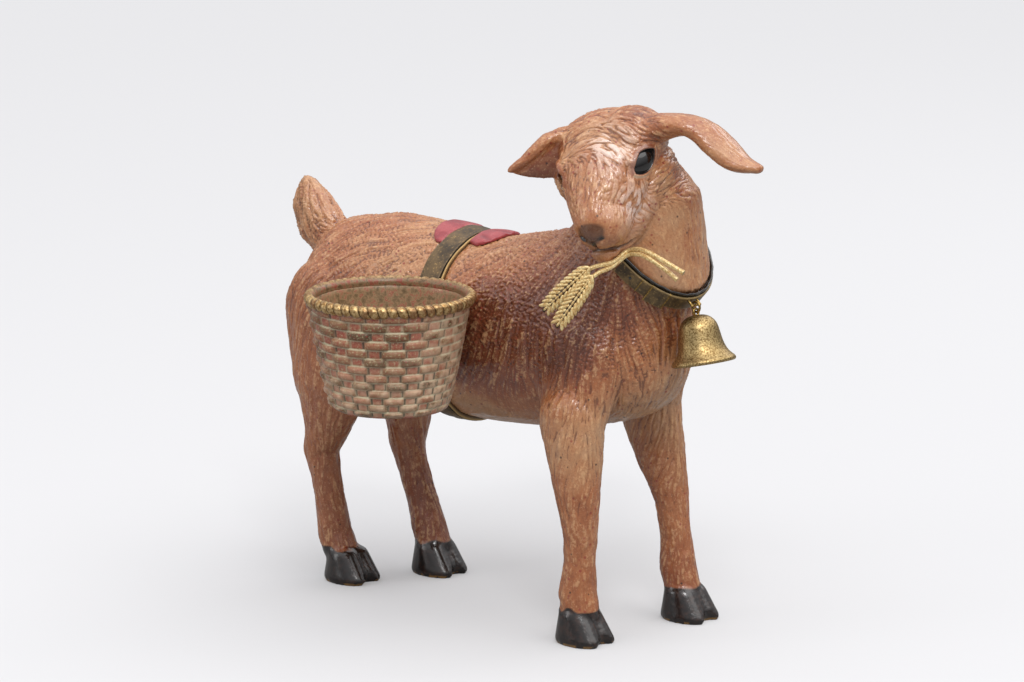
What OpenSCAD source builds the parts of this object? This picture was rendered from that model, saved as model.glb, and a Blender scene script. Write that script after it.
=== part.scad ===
/* Young goat figure with panniers, neck bell and a sprig of grain in its mouth.
   Millimetres, +Z up, +X towards the chest, +Y the goat's own left side.
   Cast body shells are chains of convex lobes; everything that turns or is pinned is a true solid. */

/* [Body] */
// half width of the barrel
barrel_w = 38; // [34:0.5:42]
// half height of the barrel
barrel_h = 44; // [41:0.5:47]
// wall of the hollow barrel
wall_t = 6; // [5:0.5:8]
// length of the tail lobe
tail_len = 24; // [18:1:30]

/* [Legs] */
// length of each steel leg rod
rod_len = 84; // [60:2:90]
// diameter of each steel leg rod
rod_d = 3; // [2:0.5:4]

/* [Panniers] */
// outer radius of a pannier at its mouth
mouth_r = 36.5; // [34:0.5:38]
// outer radius of a pannier at its floor
floor_r = 26; // [22:0.5:28]
// height of a pannier
basket_h = 49; // [46:1:54]
// wall of a pannier
basket_wall = 3; // [2.5:0.5:3.5]
// section radius of the rope rim
rope_r = 2.7; // [2.2:0.1:3.2]

/* [Straps] */
// width of the girth strap
girth_w = 13; // [10:1:16]
// width of the collar strap
collar_w = 7.6; // [6:0.2:9]
// thickness of the collar strap
collar_t = 1.3; // [1:0.1:1.6]

/* [Bell] */
// radius of the bell mouth
bell_r = 14.4; // [13:0.2:15]
// how far the bell leans out from the vertical
bell_lean = 13; // [8:1:18]

/* [Hidden] */
origin_shift = [-0.5, 0, 0];

// collar plane: centre, tilt and half axes of the neck section it closes round
neck_c = [76.5, 0.5, 177];
neck_tilt = 44;
neck_yaw = -6;
neck_a = 31.5;
neck_b = 24.5;
collar_gap = 0.9;
lining_t = 0.9;
lining_a = neck_a + collar_gap + lining_t;
lining_b = neck_b + collar_gap + lining_t;

// head frame: point midway between the eyes, then roll, pitch and yaw
eye_mid = [72.6, -27.5, 211.7];
head_turn = [10, 22, -64];

// pannier placing
basket_x = -12.4;
basket_y = 72.5;
basket_z = 102.2;
left_drop = 3;
seat_y = 36.6;
seat_w = 22;
seat_lo = 120;
seat_hi = 142;

// bell hardware, in the plane Y = 0
wire_r = 0.55;
ring_r = 2.25;
eye_r = 1.55;
link_gap = 0.3;
staple_w = 2.6;
bar_out = collar_t + 3 * wire_r + 3 * link_gap;
clap_drop = 3.4;
// the staple sits above the middle of the strap's width
staple_up = 2.2;

girth_x = -24;
eps = 0.02;

// ---------------------------------------------------------------- helpers

module lobe(s, grow = 0) {
  translate([s[0], s[1], s[2]])
    scale([s[3] + grow, s[4] + grow, s[5] + grow])
      sphere(r = 1);
}

module chain(list, grow = 0) {
  for (i = [0 : len(list) - 2])
    hull() {
      lobe(list[i], grow);
      lobe(list[i + 1], grow);
    }
}

module head_frame() {
  translate(eye_mid)
    rotate(head_turn)
      children();
}

module neck_frame() {
  translate(neck_c)
    rotate([0, neck_tilt, neck_yaw])
      children();
}

module neck_disc(lo, hi) {
  neck_frame()
    translate([0, 0, lo])
      scale([neck_a, neck_b, 1])
        cylinder(h = hi - lo, r = 1, $fn = 40);
}

// stands a child on the collar line: its +X out of the neck, +Z up the strap's width
module at_collar(a, out = 0) {
  neck_frame()
    translate([lining_a * cos(a), lining_b * sin(a), 0])
      rotate([0, 0, atan2(sin(a) / lining_b, cos(a) / lining_a)])
        translate([out, 0, 0])
          children();
}

module rod_between(p, q, r) {
  d = q - p;
  translate(p)
    rotate([0, acos(d[2] / norm(d)), atan2(d[1], d[0])])
      cylinder(h = norm(d), r = r, $fn = 24);
}

// ---------------------------------------------------------------- body

barrel = [
  [-90.5, 0, 129.5, 30.5, 34, 40],
  [-70, 0, 129, 34, 37, barrel_h],
  [-46, 0, 128.3, 30, barrel_w, barrel_h - 0.4],
  [-22, 0, 126.5, 30, barrel_w, barrel_h - 1.8],
  [0, 0, 127.5, 32, barrel_w, barrel_h - 1.2],
  [26, 0, 131.5, 34, 37.5, barrel_h + 0.8],
  [52, 0, 137, 38, 35, 45]
];
chest = [
  [52, 0, 137, 38, 35, 45],
  [61, 0, 125, 32.4, 30, 30]
];
cavity = [
  [-78, 0, 134, 22, 24, 26],
  [-40, 0, 130, 28, barrel_w - wall_t - 1, barrel_h - wall_t - 1],
  [0, 0, 130, 28, barrel_w - wall_t - 1, barrel_h - wall_t - 2],
  [34, 0, 136, 22, 24, 28]
];
// upper arm and thigh swellings that belong to the trunk casting
right_arm = [[55, -24, 128, 25, 14, 24], [58, -29, 104, 17, 10, 18]];
left_arm = [[55, 24, 128, 25, 14, 24], [56, 27, 104, 17, 10, 18]];
right_thigh = [[-90, -22, 126, 30, 15, 28], [-93, -24, 98, 21, 12, 22]];
left_thigh = [[-88, 22, 126, 30, 15, 28], [-84, 22, 98, 20, 12, 22]];

module barrel_skin(grow = 0) {
  chain(barrel, grow);
}

module trunk_form(grow = 0) {
  barrel_skin(grow);
  chain(chest, grow);
  chain(right_arm, grow);
  chain(left_arm, grow);
  chain(right_thigh, grow);
  chain(left_thigh, grow);
  hull() {
    lobe([52, 0, 137, 38, 35, 45]);
    neck_disc(-6, -5);
  }
  hull() {
    lobe([61, 0, 125, 32.4, 30, 30]);
    neck_disc(-6, -5);
  }
  neck_disc(-6, 0);
}

// groove that the collar runs in
module collar_groove() {
  neck_frame()
    difference() {
      translate([0, 0, -collar_w / 2 - 0.7])
        cylinder(h = collar_w + 1.4, r = 60, $fn = 32);
      translate([0, 0, -20])
        scale([neck_a, neck_b, 1])
          cylinder(h = 40, r = 1, $fn = 40);
    }
}

module seat_block(side, grow = 0) {
  translate([basket_x - seat_w / 2, side > 0 ? seat_y : -seat_y - 8, seat_lo])
    cube([seat_w, 8, seat_hi - seat_lo]);
}

module torso() {
  color([0.69, 0.45, 0.31])
    difference() {
      union() {
        trunk_form($fn = 30);
      }
      collar_groove();
      chain(cavity, $fn = 22);
      seat_block(-1);
      seat_block(1);
      leg_bores();
      dowel(0.1);
      pins(0.1);
      // casting vent under the girth strap
      translate([girth_x, 0, 80])
        cylinder(h = 20, r = 2.5, $fn = 20);
    }
}

// ---------------------------------------------------------------- legs

front_right = [
  [58, -31, 100, 16.5, 12, 17],
  [61, -33, 86, 14, 11, 12],
  [63.5, -34, 70, 11, 10, 10],
  [65.5, -34.5, 53, 8, 8, 8],
  [65.5, -34.5, 36, 7.2, 7, 8],
  [64.5, -34.5, 21, 8.8, 8.6, 7],
  [66.5, -34.5, 13, 8.2, 8.4, 5]
];
front_left = [
  [55, 27, 100, 16.5, 12, 17],
  [59, 27, 84, 14, 11, 12],
  [64, 27, 70, 11, 10, 10],
  [69, 27, 55, 7.8, 8, 8],
  [71.5, 27, 38, 7, 7, 8],
  [73, 27, 22, 8.4, 8.4, 7],
  [76, 27, 13, 8, 8.2, 5]
];
rear_right = [
  [-93, -23, 92, 19, 12, 18],
  [-97, -22, 72, 11, 10, 12],
  [-101, -22, 61, 8.6, 8, 8],
  [-98, -22, 48, 7.2, 7, 8],
  [-95, -22, 33, 7.2, 7, 8],
  [-92.5, -22, 21, 8.2, 8, 6.5],
  [-89, -22, 13, 8.4, 8.4, 5]
];
rear_left = [
  [-86, 20, 92, 18, 12, 18],
  [-81, 17, 71, 11, 10, 12],
  [-80, 15, 60, 8.6, 8, 8],
  [-75.5, 15, 47, 7.2, 7, 8],
  [-70, 15, 33, 7.6, 7, 8],
  [-66.5, 15, 21, 8.6, 8, 6.5],
  [-63, 15, 13, 8.4, 8.4, 5]
];

// cloven hoof: two toes with a notch between them, flat underneath
module hoof(p) {
  difference() {
    union() {
      for (s = [-1, 1])
        hull() {
          translate([p[0] - 2, p[1] + s * 3.6, 13])
            scale([8, 6, 3])
              sphere(r = 1, $fn = 16);
          translate([p[0] + 1, p[1] + s * 4.4, 1.5])
            scale([12.5, 7.4, 3.4])
              sphere(r = 1, $fn = 20);
        }
      for (s = [-1, 1])
        translate([p[0] - 8.5, p[1] + s * 4, 14])
          sphere(r = 2.2, $fn = 10);
    }
    translate([p[0] + 14.6, p[1], -1])
      cylinder(h = 12, r1 = 5.6, r2 = 2.4, $fn = 12);
    translate([p[0] - 30, p[1] - 30, -20])
      cube([60, 60, 20]);
  }
}

module leg(list, toe) {
  color([0.67, 0.42, 0.28])
    difference() {
      union() {
        chain(list, $fn = 20);
        hoof(toe);
      }
      trunk_form($fn = 30);
      leg_bores();
      translate([-200, -200, -20])
        cube([400, 400, 20]);
    }
}

rod_lo = [[66, -34.3, 12], [73, 27, 12], [-94, -22, 12], [-69, 15.2, 12]];
rod_hi = [[59, -30, 106], [58, 27, 106], [-97, -22.5, 96], [-84, 18.5, 96]];

module rods(slack = 0) {
  for (i = [0 : 3])
    rod_between(rod_lo[i], rod_lo[i] + (rod_hi[i] - rod_lo[i]) / norm(rod_hi[i] - rod_lo[i]) * rod_len,
                rod_d / 2 + slack);
}

module leg_bores() {
  rods(0.08);
}

module leg_rods() {
  color([0.6, 0.6, 0.62])
    rods();
}

module front_right_leg() {
  leg(front_right, [67.5, -34.5]);
}

module front_left_leg() {
  leg(front_left, [79, 27]);
}

module rear_right_leg() {
  leg(rear_right, [-83, -22]);
}

module rear_left_leg() {
  leg(rear_left, [-61, 15]);
}

// ---------------------------------------------------------------- tail

module tail() {
  color([0.72, 0.46, 0.31])
    difference() {
      chain([
        [-112, 0, 155, 10, 8, 9],
        [-121, 0, 161, 12, 8.5, 10],
        [-126, 0, 170, 10, 7, 9],
        [-128, 0, 177, 6, 5, 6],
        [-129, 0, 160 + tail_len - 2.5, 2.6, 2.6, 2.6]
      ], $fn = 20);
      trunk_form($fn = 30);
    }
}

// ---------------------------------------------------------------- head

skull = [
  [-15, 0, 2, 21, 24, 18],
  [-1, 0, 1, 15, 20, 14.5],
  [12, 0, -5, 12.5, 15.5, 12.5],
  [22, 0, -10.5, 10, 11.5, 11],
  [27, 0, -13.5, 7, 9.5, 8.5]
];
jaw = [
  [-14, 0, -9, 15, 25, 15],
  [3, 0, -16, 13, 17, 12],
  [13, 0, -21, 10, 13, 10.5],
  [22, 0, -26.5, 8.5, 9.5, 8.5]
];

module head_form() {
  head_frame()
    union() {
      chain(skull, $fn = 26);
      chain(jaw, $fn = 22);
      // brow ridges above the eyes, and cheeks behind the mouth
      for (s = [-1, 1]) {
        translate([-1, s * 14.5, 6.8])
          scale([10, 5, 4.2])
            sphere(r = 1, $fn = 16);
        translate([-11, s * 13, -8.6])
          scale([18.2, 14.6, 15.3])
            sphere(r = 1, $fn = 22);
      }
    }
}

module head() {
  color([0.70, 0.46, 0.32])
    difference() {
      union() {
        head_form();
        hull() {
          neck_disc(0, 6);
          lobe([75, -2, 199, 25.5, 24.5, 10], $fn = 26);
        }
        hull() {
          lobe([75, -2, 199, 25.5, 24.5, 10], $fn = 26);
          head_frame()
            lobe([-15, 0, 0, 20, 21, 17], $fn = 26);
        }
      }
      head_frame()
        for (s = [-1, 1])
          eye_ball(s, 0.12, $fn = 26);
      collar_groove();
      neck_frame()
        translate([-60, -60, -40])
          cube([120, 120, 40]);
      dowel(0.1);
      stem_bores();
    }
}

// eyeball seated in its socket
module eye_ball(s, grow = 0) {
  translate([0, s * 16.6, 1.2])
    rotate([0, -30, s * 25])
      scale([6.2 + grow, 5 + grow, 4.6 + grow])
        sphere(r = 1);
}

module eyes() {
  color([0.03, 0.03, 0.03])
    head_frame()
      for (s = [-1, 1])
        eye_ball(s, $fn = 28);
}

module dowel(slack = 0) {
  neck_frame()
    translate([0, 0, -9 - slack])
      cylinder(h = 20 + 2 * slack, r = 5 + slack, $fn = 32);
}

module neck_dowel() {
  color([0.75, 0.7, 0.6])
    dowel();
}

module left_ear() {
  color([0.68, 0.43, 0.29])
    difference() {
      chain([
        [84, -14, 227.5, 8, 7, 8],
        [96, -12, 232.6, 6.5, 8, 5.2],
        [104.5, -8.5, 233.4, 6.5, 9, 4.4],
        [111, -4.5, 230, 6.3, 10, 4.2],
        [117.5, -2, 224, 6, 10.5, 4],
        [125, 0, 217.6, 6, 8.5, 3.5],
        [134, 2, 216, 3, 3.5, 2]
      ], $fn = 18);
      ear_cut();
    }
}

module right_ear() {
  color([0.68, 0.43, 0.29])
    difference() {
      chain([
        [60, -24, 222, 6, 5, 9],
        [54, -30, 223, 6, 3.6, 10],
        [47, -35, 219, 8, 3.2, 10],
        [40, -39, 214.5, 6, 2.6, 6],
        [34, -43, 211, 2.2, 2, 2.6]
      ], $fn = 18);
      ear_cut();
    }
}

module ear_cut() {
  head_form();
  hull() {
    lobe([75, -2, 199, 25.5, 24.5, 10], $fn = 26);
    head_frame()
      lobe([-15, 0, 0, 20, 21, 17], $fn = 26);
  }
}

// ---------------------------------------------------------------- grain sprig

stem_a = [
  [119, -30, 173],
  [112, -32, 176.5],
  [105, -33, 179.5],
  [97, -32.5, 181],
  [90, -32.5, 179.5],
  [88, -40, 175.5],
  [84.5, -48, 174.2],
  [81.5, -53.5, 172]
];
stem_b = [
  [115.5, -30, 169.5],
  [110, -32.5, 174.3],
  [104, -34, 177.6],
  [97, -33.5, 179],
  [90, -33.5, 177.5],
  [88, -41, 173.5],
  [86, -48, 171.5],
  [83.5, -53, 168]
];
spray_a = [[83.6, -52, 173.8], [65.3, -60, 154]];
spray_b = [[85.3, -52, 170], [72.7, -60, 147.8]];

module path_rod(list, r) {
  for (i = [0 : len(list) - 2])
    hull() {
      translate(list[i])
        sphere(r = r, $fn = 8);
      translate(list[i + 1])
        sphere(r = r, $fn = 8);
    }
}

module stems(slack = 0) {
  path_rod(stem_a, 1.1 + slack);
  path_rod(stem_b, 1.1 + slack);
}

module stem_bores() {
  stems(0.1);
}

module wheat_stems() {
  color([0.82, 0.67, 0.36])
    stems();
}

module grain_ear(list, w) {
  hull() {
    translate(list[0])
      scale([1.8, 1.8, 1.8])
        sphere(r = 1, $fn = 12);
    translate(list[0] * 0.6 + list[1] * 0.4)
      scale([w, 2.6, w * 0.9])
        sphere(r = 1, $fn = 14);
    translate(list[1])
      scale([1.2, 1.2, 1.6])
        sphere(r = 1, $fn = 12);
  }
}

module wheat_ears() {
  color([0.80, 0.66, 0.38])
    difference() {
      union() {
        grain_ear(spray_a, 3.8);
        grain_ear(spray_b, 4);
      }
      stems(0.02);
    }
}

// ---------------------------------------------------------------- pad and girth strap

module pad_outline() {
  hull() {
    translate([-32, 0, 150])
      scale([9.5, 17, 1])
        cylinder(h = 40, r = 1, $fn = 36);
    translate([-26, 0, 150])
      scale([7, 13, 1])
        cylinder(h = 40, r = 1, $fn = 36);
  }
  hull() {
    translate([-12.5, 0, 150])
      scale([9, 14, 1])
        cylinder(h = 40, r = 1, $fn = 36);
    translate([-20, 0, 150])
      scale([6, 11, 1])
        cylinder(h = 40, r = 1, $fn = 36);
  }
}

module girth_slab() {
  translate([girth_x - girth_w / 2, -60, 60])
    cube([girth_w, 120, 130]);
}

module saddle_pad() {
  color([0.76, 0.32, 0.34])
    difference() {
      intersection() {
        pad_outline();
        union() {
          difference() {
            barrel_skin(1.7, $fn = 30);
            girth_slab();
          }
          barrel_skin(0.7, $fn = 30);
        }
      }
      barrel_skin(0, $fn = 30);
    }
}

module girth_strap() {
  color([0.33, 0.29, 0.19])
    difference() {
      intersection() {
        girth_slab();
        barrel_skin(2.2, $fn = 30);
      }
      trunk_form($fn = 30);
      intersection() {
        pad_outline();
        barrel_skin(0.7, $fn = 30);
      }
      seat_block(-1);
      seat_block(1);
    }
}

// ---------------------------------------------------------------- panniers

module basket_frame(side) {
  translate([basket_x, side * basket_y, side > 0 ? basket_z - left_drop : basket_z])
    children();
}

module basket_shell() {
  rotate_extrude($fn = 96)
    polygon([
      [0, 0],
      [floor_r - 1.5, 0],
      [floor_r, 1.5],
      [floor_r + (mouth_r - floor_r) * 0.58, basket_h * 0.5],
      [mouth_r, basket_h],
      [mouth_r - basket_wall, basket_h],
      [floor_r + (mouth_r - floor_r) * 0.58 - basket_wall, basket_h * 0.5],
      [floor_r - basket_wall, 3.5],
      [0, 3.5]
    ]);
}

module basket_inside() {
  rotate_extrude($fn = 96)
    polygon([
      [0, 3.5],
      [floor_r - basket_wall, 3.5],
      [floor_r + (mouth_r - floor_r) * 0.58 - basket_wall, basket_h * 0.5],
      [mouth_r - basket_wall, basket_h],
      [mouth_r - basket_wall, basket_h + 5],
      [0, basket_h + 5]
    ]);
}

module basket(side) {
  color([0.66, 0.45, 0.33])
    difference() {
      union() {
        basket_frame(side)
          basket_shell();
        translate([basket_x - seat_w / 2, side > 0 ? seat_y : -seat_y - 7, seat_lo])
          cube([seat_w, 7, seat_hi - seat_lo]);
      }
      basket_frame(side)
        basket_inside();
      pins(0.05);
    }
}

module basket_rim(side) {
  color([0.62, 0.48, 0.24])
    basket_frame(side)
      translate([0, 0, basket_h])
        rotate_extrude($fn = 96)
          intersection() {
            translate([mouth_r - basket_wall / 2 + 0.4, rope_r - 0.6])
              circle(r = rope_r, $fn = 24);
            translate([mouth_r - 10, 0])
              square([20, 10]);
          }
}

module right_basket() {
  basket(-1);
}

module left_basket() {
  basket(1);
}

module right_basket_rim() {
  basket_rim(-1);
}

module left_basket_rim() {
  basket_rim(1);
}

module pins(slack = 0) {
  for (side = [-1, 1])
    for (x = [-6, 6])
      translate([basket_x + x, side * (seat_y - 4.5 - slack), (seat_lo + seat_hi) / 2])
        rotate([-90 * side, 0, 0])
          cylinder(h = 6.5 + 2 * slack, r = 1.25 + slack, $fn = 24);
}

module basket_pins() {
  color([0.6, 0.6, 0.62])
    pins();
}

// ---------------------------------------------------------------- collar

module collar_ring(inner, outer, width) {
  neck_frame()
    scale([lining_a / lining_b, 1, 1])
      rotate_extrude($fn = 96)
        translate([lining_b + inner, -width / 2])
          square([outer - inner, width]);
}

module collar_lining() {
  color([0.05, 0.04, 0.04])
    collar_ring(-lining_t, 0, collar_w + 0.8);
}

module collar_strap() {
  color([0.36, 0.31, 0.19])
    difference() {
      collar_ring(0, collar_t, collar_w);
      // punched hole in the run of strap beyond the buckle
      at_collar(-62, -4)
        rotate([0, 90, 0])
          cylinder(h = 10, r = 0.6, $fn = 16);
      at_collar(0, -4)
        for (s = [-1, 1])
          translate([0, s * staple_w, staple_up])
            rotate([0, 90, 0])
              cylinder(h = 10, r = wire_r + 0.05, $fn = 24);
    }
}

// square loop round strap and lining
module collar_keeper() {
  color([0.52, 0.44, 0.24])
    at_collar(-36)
      difference() {
        translate([-lining_t - 0.8, -2.8, -collar_w / 2 - 1.2])
          cube([lining_t + collar_t + 2.3, 5.6, collar_w + 2.4]);
        translate([-lining_t - 0.4, -4, -collar_w / 2 - 0.5])
          cube([lining_t + collar_t + 1.05, 8, collar_w + 1]);
      }
}

module buckle_frame() {
  color([0.52, 0.44, 0.24])
    at_collar(-92, collar_t + 0.35)
      difference() {
        translate([0, -5, -collar_w / 2 - 0.6])
          cube([1.6, 10, collar_w + 1.2]);
        translate([-1, -3.4, -collar_w / 2 + 1])
          cube([4, 6.8, collar_w - 2]);
      }
}

module buckle_tongue() {
  color([0.52, 0.44, 0.24])
    at_collar(-92, collar_t + 1.95)
      translate([0, -4.6, -0.7])
        cube([1, 9.4, 1.4]);
}

// ---------------------------------------------------------------- bell hardware

// centre of the staple bar, turned with the neck: +Y along the bar, +Z up
module bar_frame() {
  translate(neck_c)
    rotate([0, 0, neck_yaw])
      translate([(lining_a + bar_out) * cos(neck_tilt) + staple_up * sin(neck_tilt), 0,
                 staple_up * cos(neck_tilt) - (lining_a + bar_out) * sin(neck_tilt)])
        children();
}

// bell axis: origin at the eye that hooks on the ring, mouth towards -Z, leaning out
module bell_frame() {
  bar_frame()
    translate([0, 0, ring_z - ring_r])
      rotate([0, -bell_lean, 0])
        children();
}

ring_z = -(ring_r - 2 * wire_r - link_gap);

// wire staple through the strap at the front of the chest; its crossbar carries the ring
module bell_staple() {
  color([0.62, 0.50, 0.26])
    at_collar(0, bar_out)
      translate([0, 0, staple_up]) {
        rotate([90, 0, 0])
          cylinder(h = 2 * staple_w, r = wire_r, center = true, $fn = 24);
        for (s = [-1, 1]) {
          translate([0, s * staple_w, 0])
            sphere(r = wire_r, $fn = 24);
          translate([-bar_out + 0.1, s * staple_w, 0])
            rotate([0, 90, 0])
              cylinder(h = bar_out - 0.1, r = wire_r, $fn = 24);
        }
      }
}

module bell_ring() {
  color([0.70, 0.56, 0.28])
    bar_frame()
      translate([0, 0, ring_z])
        rotate([90, 0, 0])
          rotate_extrude($fn = 48)
            translate([ring_r, 0])
              circle(r = wire_r, $fn = 20);
}

// cast bell: domed crown, waist, flared mouth with a rolled lip
module bell_shell() {
  color([0.66, 0.53, 0.26])
    bell_frame()
      difference() {
        union() {
          rotate_extrude($fn = 72)
            polygon([
              [0, -1.3],
              [3, -1.5],
              [5.6, -2.5],
              [7.7, -4.5],
              [8.8, -7.2],
              [9.5, -11],
              [10.3, -15],
              [11.8, -18.6],
              [bell_r - 0.4, -21],
              [bell_r - 0.4, -22.7],
              [bell_r - 2, -22.7],
              [10.9, -19.4],
              [9.3, -15.2],
              [8.5, -11],
              [7.8, -7.5],
              [6.8, -5.1],
              [4.9, -3.4],
              [2.8, -2.5],
              [0, -2.4]
            ]);
          translate([0, 0, -22])
            rotate_extrude($fn = 72)
              translate([bell_r - 0.9, 0])
                circle(r = 0.9, $fn = 20);
        }
        bell_eye(0.02);
        clapper_axle(0.02);
      }
}

// wire eye on the crown
module bell_eye(slack = 0) {
  rotate([0, 90, 0])
    rotate_extrude($fn = 48)
      translate([eye_r, 0])
        circle(r = wire_r + slack, $fn = 20);
}

module bell_hanger() {
  color([0.70, 0.56, 0.28])
    bell_frame()
      bell_eye();
}

// axle across the inside of the crown
module clapper_axle(slack = 0) {
  translate([0, 0, -2.4 - clap_drop])
    rotate([90, 0, 0])
      cylinder(h = 15.2, r = 0.6 + slack, center = true, $fn = 24);
}

module clapper_pin() {
  color([0.6, 0.6, 0.62])
    bell_frame()
      clapper_axle();
}

// hangs plumb from the axle, so it sits back against the lean of the bell
module clapper() {
  color([0.45, 0.40, 0.28])
    bell_frame()
      translate([0, 0, -2.4 - clap_drop])
        rotate([0, bell_lean, 0])
          difference() {
            union() {
              rotate([90, 0, 0])
                cylinder(h = 2.4, r = 1.5, center = true, $fn = 32);
              translate([0, 0, -12])
                cylinder(h = 11, r = 0.7, $fn = 20);
              translate([0, 0, -12.6])
                sphere(r = 2.5, $fn = 36);
            }
            rotate([90, 0, 0])
              cylinder(h = 4, r = 0.66, center = true, $fn = 32);
          }
}

// ---------------------------------------------------------------- assembly

translate(origin_shift) {
  torso();
  head();
  left_ear();
  right_ear();
  eyes();
  tail();
  front_right_leg();
  front_left_leg();
  rear_right_leg();
  rear_left_leg();
  leg_rods();
  neck_dowel();
  saddle_pad();
  girth_strap();
  right_basket();
  right_basket_rim();
  left_basket();
  left_basket_rim();
  basket_pins();
  wheat_stems();
  wheat_ears();
  collar_strap();
  collar_lining();
  collar_keeper();
  buckle_frame();
  buckle_tongue();
  bell_staple();
  bell_ring();
  bell_shell();
  bell_hanger();
  clapper_pin();
  clapper();
}
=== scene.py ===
"""Painted cast kid goat with two panniers, a neck bell and a sprig of grain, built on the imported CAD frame.
Lengths are millimetres in the CAD part's own axes until world() turns them into the frame's metres."""

import bmesh
import bpy
import math
import numpy as np
from mathutils import Matrix, Vector
from mathutils.bvhtree import BVHTree

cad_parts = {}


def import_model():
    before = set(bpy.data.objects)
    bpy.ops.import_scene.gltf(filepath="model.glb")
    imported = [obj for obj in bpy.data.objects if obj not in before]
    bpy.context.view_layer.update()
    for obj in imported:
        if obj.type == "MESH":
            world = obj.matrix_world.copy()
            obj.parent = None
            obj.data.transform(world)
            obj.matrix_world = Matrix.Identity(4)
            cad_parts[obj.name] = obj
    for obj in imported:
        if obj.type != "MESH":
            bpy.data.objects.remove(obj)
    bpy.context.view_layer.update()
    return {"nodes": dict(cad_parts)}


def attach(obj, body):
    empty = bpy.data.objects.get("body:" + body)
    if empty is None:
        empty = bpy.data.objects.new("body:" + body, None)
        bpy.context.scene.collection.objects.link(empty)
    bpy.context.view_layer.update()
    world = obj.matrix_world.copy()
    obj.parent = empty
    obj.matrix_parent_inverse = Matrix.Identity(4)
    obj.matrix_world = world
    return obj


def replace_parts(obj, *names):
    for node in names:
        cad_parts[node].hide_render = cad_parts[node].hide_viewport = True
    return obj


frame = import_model()
NODES = frame["nodes"]

# driving dimensions shared with the CAD part, in mm and degrees
SHIFT = np.array([-0.5, 0.0, 0.0])
NECK_TILT, NECK_YAW = 44, -6
COLLAR_A, COLLAR_B, COLLAR_W, COLLAR_T = 33.3, 26.3, 7.6, 1.3
WIRE_R, RING_R, LINK_GAP = 0.55, 2.25, 0.3
STAPLE_UP, BELL_LEAN = 2.2, 13
MOUTH_R, FLOOR_R, PANNIER_H, WALL = 36.5, 26.0, 49.0, 3.0
GIRTH_X, GIRTH_W, BARREL_Z = -24.0, 13.0, 128.0

LATTICE_SIZE = 96
LATTICE = np.random.default_rng(11).random((LATTICE_SIZE,) * 3).astype(np.float32)
HAIR_MID = 0.72  # mean height of carve()


def world(p):
    return (np.asarray(p, float) + SHIFT) * 0.001


def turn(rx, ry, rz):
    """Rotation about X, then Y, then Z, in degrees."""
    r = Matrix.Rotation(math.radians(rz), 3, "Z")
    r = r @ Matrix.Rotation(math.radians(ry), 3, "Y")
    return np.array(r @ Matrix.Rotation(math.radians(rx), 3, "X"))


def unit(v):
    v = np.asarray(v, float)
    return v / np.maximum(np.linalg.norm(v, axis=-1, keepdims=True), 1e-9)


def step(x, lo, hi):
    """Smooth rise from 0 at lo to 1 at hi."""
    t = np.clip((x - lo) / (hi - lo), 0, 1)
    return t * t * (3 - 2 * t)


HEAD_MID = np.array([72.6, -27.5, 211.7])
HEAD_R = turn(10, 22, -64)
NECK_C = np.array([76.5, 0.5, 177.0])
NECK_R = turn(0, NECK_TILT, NECK_YAW)


def head_local(p):
    return (p - HEAD_MID) @ HEAD_R


def head_world(p):
    return np.asarray(p, float) @ HEAD_R.T + HEAD_MID


# ------------------------------------------------------------------ mesh helpers


def new_object(name, verts, faces, material, body="goat"):
    """Smooth-shaded piece that rides on one body."""
    me = bpy.data.meshes.new(name)
    me.from_pydata(world(verts).tolist(), [], [list(map(int, f)) for f in faces])
    me.validate()
    me.polygons.foreach_set("use_smooth", [True] * len(me.polygons))
    ob = bpy.data.objects.new(name, me)
    bpy.context.scene.collection.objects.link(ob)
    me.materials.append(material)
    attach(ob, body)
    return ob


def add_values(ob, **values):
    """Stores named values on the piece's vertices for its paint."""
    for name, data in values.items():
        layer = ob.data.attributes.new(name, "FLOAT", "POINT")
        layer.data.foreach_set("value", np.asarray(data, np.float32))


def cad_points(me):
    co = np.zeros(len(me.vertices) * 3)
    me.vertices.foreach_get("co", co)
    return co.reshape(-1, 3) * 1000 - SHIFT


def arrays(me):
    """Vertices in CAD millimetres and the four-sided faces of a mesh."""
    loops = np.zeros(len(me.loops), int)
    me.loops.foreach_get("vertex_index", loops)
    totals = np.zeros(len(me.polygons), int)
    me.polygons.foreach_get("loop_total", totals)
    starts = np.zeros(len(me.polygons), int)
    me.polygons.foreach_get("loop_start", starts)
    keep = starts[totals == 4]
    return cad_points(me), loops[keep[:, None] + np.arange(4)[None, :]]


def modified(me, kind, **settings):
    """Vertices and quads of a mesh after one modifier."""
    ob = bpy.data.objects.new(me.name, me)
    bpy.context.scene.collection.objects.link(ob)
    mod = ob.modifiers.new(kind, kind)
    for key, value in settings.items():
        setattr(mod, key, value)
    out = bpy.data.meshes.new_from_object(ob.evaluated_get(bpy.context.evaluated_depsgraph_get()))
    bpy.data.objects.remove(ob)
    return arrays(out)


def ellipsoid(centre, radii, rot=None, rings=16, segs=24):
    """Vertices and faces of a closed ellipsoid."""
    v = [[0, 0, 1]]
    for i in range(1, rings):
        a = math.pi * i / rings
        for j in range(segs):
            b = 2 * math.pi * j / segs
            v.append([math.sin(a) * math.cos(b), math.sin(a) * math.sin(b), math.cos(a)])
    v.append([0, 0, -1])
    v = np.array(v) * np.array(radii)
    if rot is not None:
        v = v @ np.asarray(rot).T
    f = [[0, 1 + j, 1 + (j + 1) % segs] for j in range(segs)]
    for i in range(rings - 2):
        for j in range(segs):
            a, b = 1 + i * segs + j, 1 + i * segs + (j + 1) % segs
            f.append([a, a + segs, b + segs, b])
    last = len(v) - 1
    base = 1 + (rings - 2) * segs
    f += [[last, base + (j + 1) % segs, base + j] for j in range(segs)]
    return v + np.array(centre), f


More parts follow.
